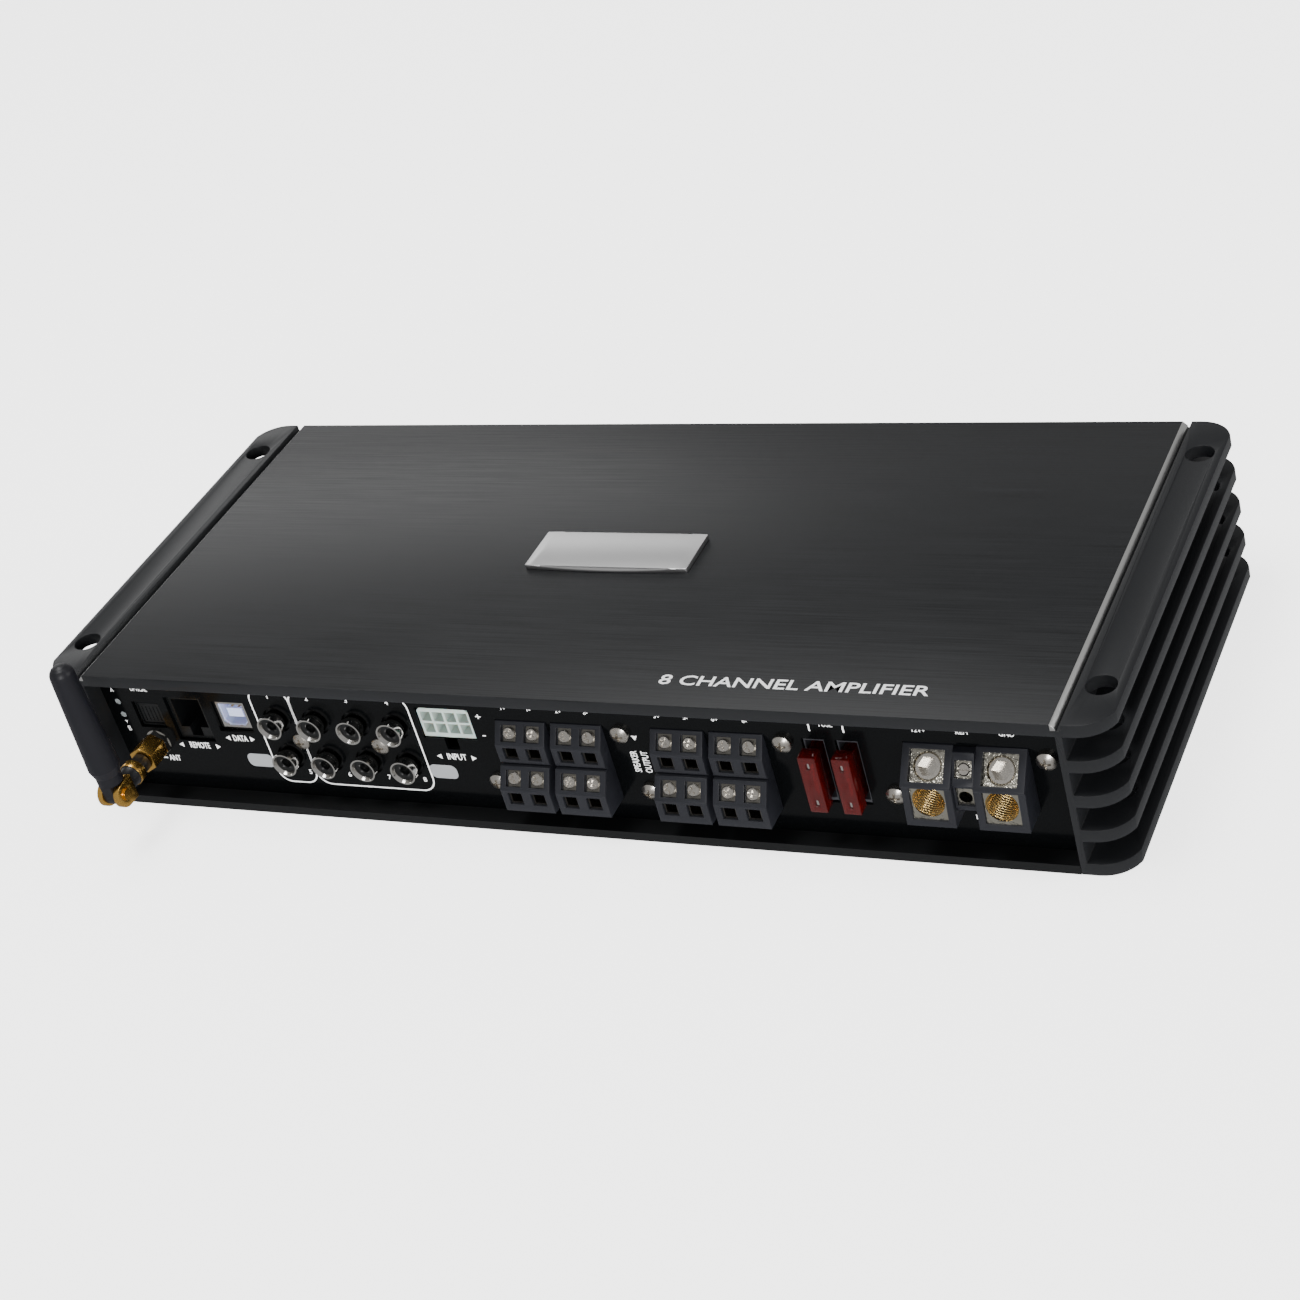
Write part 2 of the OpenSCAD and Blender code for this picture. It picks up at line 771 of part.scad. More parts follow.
module speaker_screws() {
    color(silver)
        for (cx = speaker_x, w = speaker_ways(), row = [0, 1]) {
            q = speaker_face(row);
            on_face(cx + w, q[0], q[1], speaker_tilt)
                rotate([0, 0, 37 * w + 50 * row])
                    difference() {
                        union() {
                            translate([0, 0, -5]) cylinder(r = m3_r, h = 4);
                            translate([0, 0, -1]) clamp_head(speaker_screw_r, 0.95);
                        }
                        translate([-1.4, -0.3, -0.6]) cube([2.8, 0.6, 1]);
                        translate([-0.3, -1.1, -0.6]) cube([0.6, 2.2, 1]);
                    }
        }
}

module clamp_head(r, h) {
    rotate_extrude() polygon([[0, 0], [r, 0], [r, h - 0.3], [r - 0.3, h], [0, h]]);
}

// Power terminals ------------------------------------------------------------

power_tilt = atan((power_top - power_ridge_z) / (power_ridge_p - 0.3));
power_face = [(power_ridge_p + 0.3) / 2, (power_top + power_ridge_z) / 2];
control_top = 36.3;
control_top_p = 2;
control_ridge_p = 7.2;
control_tilt = atan((control_top - power_ridge_z) / (control_ridge_p - control_top_p));
control_face = [(control_ridge_p + control_top_p) / 2, (control_top + power_ridge_z) / 2];

power_profile = [
    [-power_back, main_top], [-power_back, power_top], [0.3, power_top],
    [power_ridge_p, power_ridge_z], [power_ridge_p, power_ridge_z - 0.6],
    [power_ridge_p - 0.6, power_ridge_z - 0.8], [power_ridge_p + 0.7, power_bottom],
    [-panel_t - 0.1, power_bottom], [-panel_t - 0.1, main_top]
];
control_profile = [
    [-power_back, 21], [-power_back, control_top], [control_top_p, control_top],
    [control_ridge_p, power_ridge_z], [control_ridge_p - 0.5, power_ridge_z - 0.8],
    [control_ridge_p + 0.1, 20.8], [0, 20.8]
];

function main_clamp_outline() = let (
    c = below(power_face, power_tilt, 1.2),
    upper = downhill(c, power_tilt, -4.5),
    lower = downhill(c, power_tilt, 4.5),
    front = power_ridge_p - 1.1
) [upper, lower, [front, power_ridge_z - 0.8], [front + 1.1, 17.9], [-8, 17.9], [-8, 27]];

function control_clamp_outline() = let (
    c = below(control_face, control_tilt, 1),
    upper = downhill(c, control_tilt, -2.4),
    lower = downhill(c, control_tilt, 2.4)
) [
    upper, lower, [control_ridge_p - 0.9, power_ridge_z - 1],
    [control_ridge_p - 0.9, 22.2], [-9, 22.2], [-9, 26]
];

module power_block() {
    a = front_screws[6];
    b = front_screws[7];
    color(plastic_grey)
        difference() {
            union() {
                for (x = [supply_x, ground_x])
                    panel_prism(x - power_w / 2, x + power_w / 2, power_profile);
                panel_prism(control_x - control_w / 2, control_x + control_w / 2, control_profile);
                translate([supply_x, panel_y + 3, main_top])
                    cube([ground_x - supply_x, power_back - 3, power_top - main_top]);
                screw_lug(a[0], a[1], 1, supply_x - power_w / 2 - a[0] + 0.5);
                screw_lug(b[0], b[1], -1, b[0] - ground_x - power_w / 2 + 0.5);
            }
            for (x = [supply_x, ground_x]) {
                on_face(x, power_face[0], power_face[1], power_tilt)
                    translate([-5, -4.5, -1.21]) cube([10, 9, 4]);
                translate([x - 5, panel_y - 12, 17.9]) cube([10, 5.5, power_ridge_z - 0.8 - 17.9]);
                panel_prism(x - 5, x + 5, main_clamp_outline());
            }
            on_face(control_x, control_face[0], control_face[1], control_tilt)
                translate([-2.4, -2.4, -1.01]) cube([4.8, 4.8, 4]);
            translate([control_x - 2.4, panel_y - 10, 22.2]) cube([4.8, 4.5, power_ridge_z - 1 - 22.2]);
            panel_prism(control_x - 2.4, control_x + 2.4, control_clamp_outline());
            for (q = [a, b]) y_rod(q[0], panel_back_y - 1, q[1], tapped_r, 9);
        }
}

module power_clamps() {
    color("#c4bfae") {
        for (x = [supply_x, ground_x])
            difference() {
                panel_prism(x - 4.9, x + 4.9, main_clamp_outline());
                y_rod(x, panel_y - 12, power_wire_z, power_wire_r, 30);
                on_face(x, power_face[0], power_face[1], power_tilt)
                    translate([0, 0, -12.5]) cylinder(r = power_screw_r + screw_fit, h = 15);
            }
        difference() {
            panel_prism(control_x - 2.3, control_x + 2.3, control_clamp_outline());
            y_rod(control_x, panel_y - 12, control_wire_z, control_wire_r, 30);
            on_face(control_x, control_face[0], control_face[1], control_tilt)
                translate([0, 0, -12]) cylinder(r = control_screw_r + screw_fit, h = 14);
        }
    }
}

// Socket set screw in face coordinates, outer end at the given depth
module set_screw(r, depth, len, socket_r) {
    translate([0, 0, -depth - len])
        difference() {
            rotate_extrude()
                polygon([[0, 0], [r - 0.4, 0], [r, 0.4], [r, len - 0.5], [r - 0.5, len], [0, len]]);
            translate([0, 0, len - 3]) cylinder(r = socket_r, h = 4, $fn = 6);
        }
}

module main_set_screw(x) {
    color(silver)
        on_face(x, power_face[0], power_face[1], power_tilt)
            set_screw(power_screw_r, 1.5, 4.6, 2.9);
}

module main_pad(x) {
    color(gold)
        on_face(x, power_face[0], power_face[1], power_tilt)
            translate([0, 0, -7.15]) cylinder(r = power_screw_r - 0.4, h = pad_t);
}

module supply_screw() { main_set_screw(supply_x); }

module supply_pad() { main_pad(supply_x); }

module ground_screw() { main_set_screw(ground_x); }

module ground_pad() { main_pad(ground_x); }

module remote_screw() {
    color(silver)
        on_face(control_x, control_face[0], control_face[1], control_tilt)
            difference() {
                translate([0, 0, -8.6]) clamp_head(control_screw_r, 7.9);
                translate([-2, -0.3, -1.6]) cube([4, 0.6, 2]);
            }
}

module remote_pad() {
    color(gold)
        on_face(control_x, control_face[0], control_face[1], control_tilt)
            translate([0, 0, -9.65]) cylinder(r = control_screw_r - 0.25, h = pad_t);
}

// Fuses ----------------------------------------------------------------------

module fuse_holder() {
    color(plastic_grey)
        difference() {
            union() {
                translate([fuse_x[0] - 5.2, panel_back_y, main_top])
                    cube([fuse_x[1] - fuse_x[0] + 10.4, 16, 37.5 - main_top]);
                for (x = fuse_x)
                    translate([x - 3.2, panel_y + 0.8, fuse_z - 10.9]) cube([6.4, 3, 21.8]);
            }
            for (x = fuse_x) {
                translate([x - 2.7, panel_y - 1, fuse_z - 9.95]) cube([5.4, 7.4, 19.9]);
                for (s = [-1, 1])
                    translate([x - 1.1, panel_y + 5, fuse_z + s * blade_dz - 3]) cube([2.2, 10.5, 6]);
            }
        }
}

module fuse_clips() {
    color(gold)
        for (x = fuse_x, s = [-1, 1], side = [-1, 1])
            translate([x + side * 0.6 - 0.2, panel_y + 7.2, fuse_z + s * blade_dz - 2.3])
                cube([0.4, 8.3, 4.6]);
}

module fuse_body(x) {
    p0 = panel_y - fuse_proud;
    color([0.7, 0.08, 0.06, 0.8])
        difference() {
            union() {
                translate([x - fuse_w / 2, p0, fuse_z - fuse_h / 2]) cube([fuse_w, fuse_cap_d, fuse_h]);
                translate([x - fuse_neck_w / 2, p0, fuse_z - fuse_neck_h / 2])
                    cube([fuse_neck_w, fuse_body_d, fuse_neck_h]);
            }
            fuse_metal(x);
            for (s = [-1, 1])
                translate([x - 0.6, p0 - 1, fuse_z + s * blade_dz - 1.1]) cube([1.2, 1.5, 2.2]);
        }
}

// Two blades joined by a thin link that melts
module fuse_metal(x) {
    p0 = panel_y - fuse_proud;
    translate([x - blade_t / 2, p0, fuse_z]) {
        for (s = [-1, 1]) {
            translate([0, fuse_body_d - 2, s * blade_dz - blade_h / 2]) blade_plate();
            translate([0, 0.5, s * blade_dz - 1]) cube([blade_t, fuse_body_d - 2, 2]);
        }
        translate([0, 5, -blade_dz]) cube([blade_t, 1.1, 2 * blade_dz]);
    }
}

module blade_plate() {
    inset = 1.4;
    translate([0, 2, 0]) cube([blade_t, blade_len - 1, blade_h]);
    translate([0, 1 + blade_len, inset / 2]) cube([blade_t, 1, blade_h - inset]);
    translate([0, 0, inset]) cube([blade_t, 2.5, blade_h - 2 * inset]);
}

module fuse_blades(x) {
    color(silver) fuse_metal(x);
}

module fuse_a_body() { fuse_body(fuse_x[0]); }

module fuse_a_blades() { fuse_blades(fuse_x[0]); }

module fuse_b_body() { fuse_body(fuse_x[1]); }

module fuse_b_blades() { fuse_blades(fuse_x[1]); }

// Antenna --------------------------------------------------------------------

module antenna_jack() {
    color(gold)
        difference() {
            union() {
                panel_turning(antenna_x, antenna_z, [
                    [-9, 0], [-9, 2], [-3.5, 2], [-3.5, 4.8], [-panel_t, 4.8], [-panel_t, thread_r],
                    [8.3, thread_r], [8.6, thread_r - 0.3], [8.6, 0]
                ]);
                panel_turning(
                    antenna_x, antenna_z, [[0, thread_r - eps], [0, 4.4], [0.6, 4.4], [0.6, thread_r - eps]]
                );
                y_rod_hex(0.6, 2, 4.6);
            }
            y_rod(antenna_x, panel_y - 9, antenna_z, 1.3, 5);
        }
}

// Hexagonal prism on the antenna axis, from p0 proud of the panel outwards
module y_rod_hex(p0, len, r) {
    translate([antenna_x, panel_y - p0, antenna_z])
        rotate([90, 0, 0]) rotate([0, 0, 30]) cylinder(r = r, h = len, $fn = 6);
}

module antenna_nut() {
    color(gold)
        difference() {
            y_rod_hex(3.2, 7.1, 4.7);
            y_rod(antenna_x, panel_y - 9.3, antenna_z, thread_r + thread_fit, 8);
            y_rod(antenna_x, panel_y - 12, antenna_z, 2.3, 5);
        }
}

module antenna_barrel() {
    color(gold)
        difference() {
            union() {
                panel_turning(antenna_x, antenna_z, [
                    [8.7, 0], [8.7, 2.8], [9.22, 2.8], [9.22, 2.22], [10.6, 2.22], [10.6, 3.1], [14.5, 3.1],
                    [14.5, 3.9], [17.4, 3.9], [17.4, 3.4], [21, 3.4], [21.4, 3.9], [22, 3.9], [22, 0]
                ]);
                y_rod(antenna_x, panel_y - 8.71, antenna_z, 0.45, 3);
                for (s = [-1, 1]) ear(s);
            }
            x_rod(pivot_pin_r, 10);
        }
}

// Cylinder along X, centred on the whip's pivot
module x_rod(r, len) {
    translate([antenna_x - len / 2, pivot_y, antenna_z]) rotate([0, 90, 0]) cylinder(r = r, h = len);
}

module ear(s) {
    x0 = antenna_x + (s > 0 ? tongue_w / 2 + 0.1 : -tongue_w / 2 - 0.1 - ear_t);
    translate([x0, pivot_y, antenna_z - ear_r]) cube([ear_t, pivot_p - 21.6, 2 * ear_r]);
    translate([x0, pivot_y, antenna_z]) rotate([0, 90, 0]) cylinder(r = ear_r, h = ear_t);
}

module antenna_pin() {
    len = tongue_w + 2 * ear_t + 0.2;
    color(gold) {
        x_rod(pivot_pin_r, len);
        for (s = [-1, 1])
            translate([antenna_x + s * (len / 2 + 0.3), pivot_y, antenna_z])
                rotate([0, 90, 0]) cylinder(r = 2, h = 0.6, center = true);
    }
}

module antenna_whip() {
    color("#1a1a1e")
        difference() {
            union() {
                x_rod_tongue();
                translate([antenna_x, pivot_y, antenna_z])
                    rotate_extrude()
                        polygon(concat(
                            [
                                [0, 4.7], [4, 4.7], [4, 7.8], [whip_r, 10.8],
                                [whip_tip_r, whip_len - whip_tip_r]
                            ],
                            [
                                for (a = [15:15:90])
                                    [whip_tip_r * cos(a), whip_len - whip_tip_r + whip_tip_r * sin(a)]
                            ]
                        ));
            }
            x_rod(pivot_pin_r + 0.05, 10);
        }
}

module x_rod_tongue() {
    x_rod(3.4, tongue_w);
    translate([antenna_x - tongue_w / 2, pivot_y - 3.4, antenna_z]) cube([tongue_w, 6.8, 5.2]);
}

// Inside ---------------------------------------------------------------------

function standoff_points() = [for (x = [-130, 0, 130], y = [-48, 40]) [x, y]];
function dsp_points() = [for (x = [-145, -109], y = [-44, -22]) [x, y]];

module main_board() {
    color(board_green)
        difference() {
            translate([-main_x, main_y0, main_z]) cube([2 * main_x, main_y1 - main_y0, board_t]);
            for (q = concat(standoff_points(), dsp_points()))
                translate([q[0], q[1], main_z - 1]) cylinder(r = m3_r, h = board_t + 2);
        }
}

module processor_board() {
    color(board_green)
        difference() {
            union() {
                translate([dsp_x0, dsp_y0, dsp_z]) cube([dsp_x1 - dsp_x0, dsp_y1 - dsp_y0, board_t]);
                translate([led_x - 2.3, dsp_y0, dsp_z]) cube([5, 13, board_t]);
            }
            translate([remote_x - remote_w / 2 - 0.1, dsp_y0 - 1, dsp_z - 1])
                cube([remote_w + 0.2, 13.8, board_t + 2]);
            for (q = dsp_points()) translate([q[0], q[1], dsp_z - 1]) cylinder(r = m3_r, h = board_t + 2);
        }
}

module processor_chips() {
    color("#242426") {
        translate([-138, -38, dsp_top]) cube([14, 14, 1.5]);
        translate([-118, -34, dsp_top]) cube([6, 8, 1.5]);
        translate([-140, -20.5, dsp_top]) cube([10, 5, 1.5]);
    }
}

module input_riser() {
    color(board_green)
        difference() {
            translate([header_x - 10.8, riser_y, main_top]) cube([21.6, board_t, 40.4 - main_top]);
            for (c = header_cells())
                translate([c[0] - 0.55, riser_y - 1, c[1] - 0.55]) cube([1.1, 4, 1.1]);
        }
}

module hex_standoff(q, z, len) {
    translate([q[0], q[1], z])
        difference() {
            cylinder(r = 3.1, h = len, $fn = 6);
            translate([0, 0, -1]) cylinder(r = m3_r, h = len + 2);
        }
}

module board_standoffs() {
    color(gold) {
        for (q = standoff_points()) hex_standoff(q, bottom_t, main_z - bottom_t);
        for (q = dsp_points()) {
            hex_standoff(q, main_top, dsp_z - main_top);
            translate([q[0], q[1], main_z]) cylinder(r = m3_r, h = board_t + 3);
        }
    }
}

module board_screw(q, z) {
    translate([q[0], q[1], z])
        difference() {
            union() {
                pan_head();
                translate([0, 0, -board_t - 3]) cylinder(r = m3_r, h = board_t + 3);
            }
            translate([0, 0, m3_head_h]) cross_recess();
        }
}

module board_screws() {
    color(silver) {
        for (q = standoff_points()) board_screw(q, main_top);
        for (q = dsp_points()) board_screw(q, dsp_top);
    }
}

transformer_pos = [112, -6, main_top + 8.8];
inductor_pos = [for (i = [0:7]) [-14 + 13.6 * i, -38, main_top + 3.9]];

// Ring with a rectangular section; grow widens it on every side
module toroid(r0, r1, h, grow) {
    translate([r0 - grow, -h / 2 - grow]) square([r1 - r0 + 2 * grow, h + 2 * grow]);
}

module transformer_core() {
    color("#4a4d48") translate(transformer_pos) rotate_extrude() toroid(10, 18, 14, 0);
}

module transformer_winding() {
    color("#8a4a22")
        translate(transformer_pos)
            for (turn = [10, 190])
                rotate([0, 0, turn])
                    rotate_extrude(angle = 160)
                        difference() {
                            toroid(10, 18, 14, 1.8);
                            toroid(10, 18, 14, 0);
                        }
}

module inductor_cores() {
    color("#4f5a3e") for (q = inductor_pos) translate(q) rotate_extrude() toroid(2.6, 5.2, 6, 0);
}

module inductor_windings() {
    color("#8a4a22")
        for (q = inductor_pos)
            translate(q)
                rotate_extrude(angle = 300)
                    difference() {
                        toroid(2.6, 5.2, 6, 0.9);
                        toroid(2.6, 5.2, 6, 0);
                    }
}

module supply_capacitors() {
    r = 8;
    h = 25;
    color("#26282c")
        for (x = [22, 41, 60], y = [-4, 16])
            translate([x, y, main_top])
                rotate_extrude()
                    polygon([
                        [0, 0], [r, 0], [r, 2], [r - 0.6, 2.6],
                        [r, 3.2], [r, h - 0.8], [r - 0.8, h], [0, h]
                    ]);
}

transistor_y = [for (i = [0:7]) -38 + 11.4 * i];

module power_transistors() {
    color("#222224")
        for (s = [-1, 1], y = transistor_y)
            mirror([s > 0 ? 0 : 1, 0, 0]) {
                translate([inner_x - 4.7, y - 5, main_top + 6]) cube([4.6, 10, 9]);
                translate([inner_x - 1.5, y - 5, main_top + 6]) cube([1.4, 10, 16]);
                for (i = [-1:1]) translate([inner_x - 3, y + i * 2.54 - 0.4, main_top]) cube([0.6, 0.8, 7]);
            }
}

module transistor_clamps() {
    color("#8d8f90")
        for (s = [-1, 1])
            mirror([s > 0 ? 0 : 1, 0, 0])
                translate([inner_x - 6, transistor_y[0] - 6, main_top + 8])
                    cube([1.3, transistor_y[7] - transistor_y[0] + 12, 5]);
}

heatsink();
bottom_plate();
front_panel();
rear_panel();
badge();
bottom_screws();
rear_panel_screws();
front_panel_screws();
rca_housings();
rca_shells();
rca_insulators();
rca_contacts();
usb_shell();
usb_insert();
usb_contacts();
remote_jack();
remote_contacts();
optical_port();
optical_shutter();
status_leds();
input_header();
input_pins();
speaker_block_left();
speaker_block_right();
speaker_clamps();
speaker_screws();
power_block();
power_clamps();
supply_pad();
supply_screw();
ground_pad();
ground_screw();
remote_pad();
remote_screw();
fuse_holder();
fuse_clips();
fuse_a_body();
fuse_a_blades();
fuse_b_body();
fuse_b_blades();
antenna_jack();
antenna_nut();
antenna_barrel();
antenna_pin();
antenna_whip();
main_board();
processor_board();
processor_chips();
input_riser();
board_standoffs();
board_screws();
transformer_core();
transformer_winding();
inductor_cores();
inductor_windings();
supply_capacitors();
power_transistors();
transistor_clamps();
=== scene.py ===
# Car amplifier: the looks, built round the fixed CAD frame. Metres, +Z up, connector panel towards -Y.
import math
import bpy
from mathutils import Matrix, Vector


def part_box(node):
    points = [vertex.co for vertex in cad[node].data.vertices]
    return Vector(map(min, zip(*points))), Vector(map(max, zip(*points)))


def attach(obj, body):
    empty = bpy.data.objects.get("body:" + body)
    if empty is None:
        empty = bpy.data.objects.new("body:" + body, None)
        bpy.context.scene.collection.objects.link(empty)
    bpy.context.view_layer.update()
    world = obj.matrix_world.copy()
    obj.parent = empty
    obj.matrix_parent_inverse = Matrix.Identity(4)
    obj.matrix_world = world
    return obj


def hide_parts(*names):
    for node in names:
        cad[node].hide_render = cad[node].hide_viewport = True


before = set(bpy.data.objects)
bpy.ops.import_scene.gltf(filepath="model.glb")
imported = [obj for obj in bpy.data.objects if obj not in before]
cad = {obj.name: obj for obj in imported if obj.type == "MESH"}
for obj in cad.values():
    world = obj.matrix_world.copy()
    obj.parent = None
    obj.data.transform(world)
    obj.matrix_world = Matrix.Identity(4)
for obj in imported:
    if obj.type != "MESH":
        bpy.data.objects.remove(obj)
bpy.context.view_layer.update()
mm = 0.001
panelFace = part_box("front_panel")[0].y
print("stage: frame loaded,", len(cad), "nodes")


# The camera stands in front of the connector panel, above and to the right
view = {
    "place": (0.36056, -0.56504, 0.44872),
    "forward": (-0.45062, 0.70725, -0.54473),
    "up": (-0.03529, 0.59561, 0.80250),
    "lens": 71.6,
    "sensor": 36.0,
}


def linearColour(hexCode):
    channels = [int(hexCode[i:i + 2], 16) / 255 for i in (1, 3, 5)]
    linear = [c / 12.92 if c <= 0.04045 else ((c + 0.055) / 1.055) ** 2.4 for c in channels]
    return (*linear, 1.0)


def makeCamera(settings):
    forward = Vector(settings["forward"]).normalized()
    right = forward.cross(Vector(settings["up"])).normalized()
    up = right.cross(forward)
    camera = bpy.data.objects.new("viewCamera", bpy.data.cameras.new("viewCamera"))
    bpy.context.scene.collection.objects.link(camera)
    turn = Matrix((right, up, -forward)).transposed().to_4x4()
    camera.matrix_world = Matrix.Translation(settings["place"]) @ turn
    camera.data.lens = settings["lens"]
    camera.data.sensor_width = settings["sensor"]
    camera.data.clip_start = 0.01
    bpy.context.scene.camera = camera


makeCamera(view)

studio = {
    "floorColour": "#f0f0ef",
    "floorGlow": 2.6,
    "floorSize": 12.0,
    "worldColour": "#ffffff",
    "worldStrength": 0.40,
    "boxes": [
        # name, place, aim, size, power
        ("softboxTop", (-0.3, -0.1, 1.6), (0, 0, 0), (1.0, 0.6), 24),
        ("softboxBackLeft", (-2.2, 2.0, 1.0), (-0.1, 0, 0.05), (2.4, 1.2), 17),
        ("softboxRight", (1.5, 0.2, 0.6), (0, 0, 0.02), (0.4, 0.8), 7),
        ("softboxFront", (0.55, -1.5, 0.6), (0, 0, 0.02), (0.5, 0.4), 13),
    ],
}


def makeLight(name, place, aim, size, power):
    lamp = bpy.data.lights.new(name, "AREA")
    lamp.shape = "RECTANGLE"
    lamp.size, lamp.size_y = size
    lamp.energy = power
    holder = bpy.data.objects.new(name, lamp)
    bpy.context.scene.collection.objects.link(holder)
    holder.location = place
    holder.rotation_euler = (Vector(aim) - Vector(place)).to_track_quat("-Z", "Y").to_euler()


for box in studio["boxes"]:
    makeLight(*box)
world = bpy.data.worlds.new("paleStudio")
world.use_nodes = True
background = world.node_tree.nodes["Background"]
background.inputs["Color"].default_value = linearColour(studio["worldColour"])
background.inputs["Strength"].default_value = studio["worldStrength"]
bpy.context.scene.world = world


def addNode(tree, kind, settings=None, links=None):
    node = tree.nodes.new(kind)
    for name, value in (settings or {}).items():
        if isinstance(name, str) and hasattr(node, name):
            setattr(node, name, value)
        else:
            node.inputs[name].default_value = value
    for name, socket in (links or {}).items():
        tree.links.new(socket, node.inputs[name])
    return node


def startMaterial(name, finish):
    material = bpy.data.materials.new(name)
    material.use_nodes = True
    shader = material.node_tree.nodes["Principled BSDF"]
    shader.inputs["Base Color"].default_value = linearColour(finish["colour"])
    shader.inputs["Metallic"].default_value = finish.get("metallic", 0.0)
    shader.inputs["Roughness"].default_value = finish["roughness"]
    for name, value in finish.get("sockets", {}).items():
        shader.inputs[name].default_value = value
    return material, material.node_tree, shader


# Grain in the surface: bump and gloss that vary with it, and a slow change of tone. Sizes in mm.
def addGrain(tree, shader, finish):
    place = addNode(tree, "ShaderNodeTexCoord").outputs["Object"]
    stretch = finish.get("stretch", (1, 1, 1))
    mapped = addNode(tree, "ShaderNodeMapping", {"Scale": stretch}, {"Vector": place}).outputs["Vector"]
    grain = addNode(tree, "ShaderNodeTexNoise",
                    {"Scale": 1 / (finish["grain"] * mm), "Detail": 3.0, "Roughness": 0.55},
                    {"Vector": mapped}).outputs["Fac"]
    slow = addNode(tree, "ShaderNodeTexNoise",
                   {"Scale": 1 / (finish.get("mottle", 25) * mm), "Detail": 2.0},
                   {"Vector": place}).outputs["Fac"]
    gloss = addNode(tree, "ShaderNodeMapRange",
                    {"To Min": max(0.02, finish["roughness"] - finish["spread"]),
                     "To Max": finish["roughness"] + finish["spread"]}, {"Value": grain})
    tree.links.new(gloss.outputs["Result"], shader.inputs["Roughness"])
    tone = addNode(tree, "ShaderNodeMapRange",
                   {"To Min": 1 - finish["tone"], "To Max": 1 + finish["tone"]}, {"Value": slow})
    shade = addNode(tree, "ShaderNodeVectorMath",
                    {"operation": "MULTIPLY", 0: linearColour(finish["colour"])[:3]},
                    {1: tone.outputs["Result"]})
    tree.links.new(shade.outputs["Vector"], shader.inputs["Base Color"])
    bump = addNode(tree, "ShaderNodeBump", {"Strength": 1.0, "Distance": finish["depth"] * mm},
                   {"Height": grain})
    tree.links.new(bump.outputs["Normal"], shader.inputs["Normal"])
    return {"place": place, "grain": grain, "colour": shade.outputs["Vector"],
            "gloss": gloss.outputs["Result"], "bump": bump}


def makeFinish(name, finish):
    material, tree, shader = startMaterial(name, finish)
    addGrain(tree, shader, finish)
    return material


def multiplied(tree, first, second):
    return addNode(tree, "ShaderNodeMath", {"operation": "MULTIPLY"}, {0: first, 1: second}).outputs[0]


# 1 inside the limits, 0 outside, from one coordinate of the piece in metres
def within(tree, socket, low, high):
    above = addNode(tree, "ShaderNodeMath", {"operation": "GREATER_THAN", 1: low}, {0: socket})
    below = addNode(tree, "ShaderNodeMath", {"operation": "LESS_THAN", 1: high}, {0: socket})
    return multiplied(tree, above.outputs[0], below.outputs[0])


def either(tree, first, second):
    return addNode(tree, "ShaderNodeMath", {"operation": "MAXIMUM"}, {0: first, 1: second}).outputs[0]


def mixedColour(tree, mask, first, second):
    mix = addNode(tree, "ShaderNodeMix", {"data_type": "RGBA"})
    tree.links.new(mask, mix.inputs[0])
    for index, value in ((6, first), (7, second)):
        if isinstance(value, str):
            mix.inputs[index].default_value = linearColour(value)
        else:
            tree.links.new(value, mix.inputs[index])
    return mix.outputs[2]


def mixedValue(tree, mask, first, second):
    mix = addNode(tree, "ShaderNodeMix")
    tree.links.new(mask, mix.inputs[0])
    for index, value in ((2, first), (3, second)):
        if isinstance(value, (int, float)):
            mix.inputs[index].default_value = value
        else:
            tree.links.new(value, mix.inputs[index])
    return mix.outputs[0]


# Extruded aluminium, anodised black. The top is brushed along its length in lines about 0.5 mm apart
# (drawn coarser than the real 0.1 mm so that they show), the flanges and fins are bead blasted,
# and the long edges of the top are cut afterwards, so they are bare bright metal.
heatsinkFinish = {
    "colour": "#1a1b1d", "roughness": 0.42, "spread": 0.08, "tone": 0.1, "metallic": 0.0,
    "grain": 0.35, "depth": 0.012, "mottle": 40,
    "sockets": {"Specular IOR Level": 0.22},
    "brushPitch": 0.5, "brushLength": 45, "brushColours": ("#0d0e0f", "#212224"),
    "brushGloss": (0.34, 0.5), "brushReach": 155.3, "brushDepth": 0.45,
    "bevelColour": "#d8d8d6", "bevelGloss": 0.3, "bevel": (155.25, 156.72), "bevelDepth": 1.9,
}


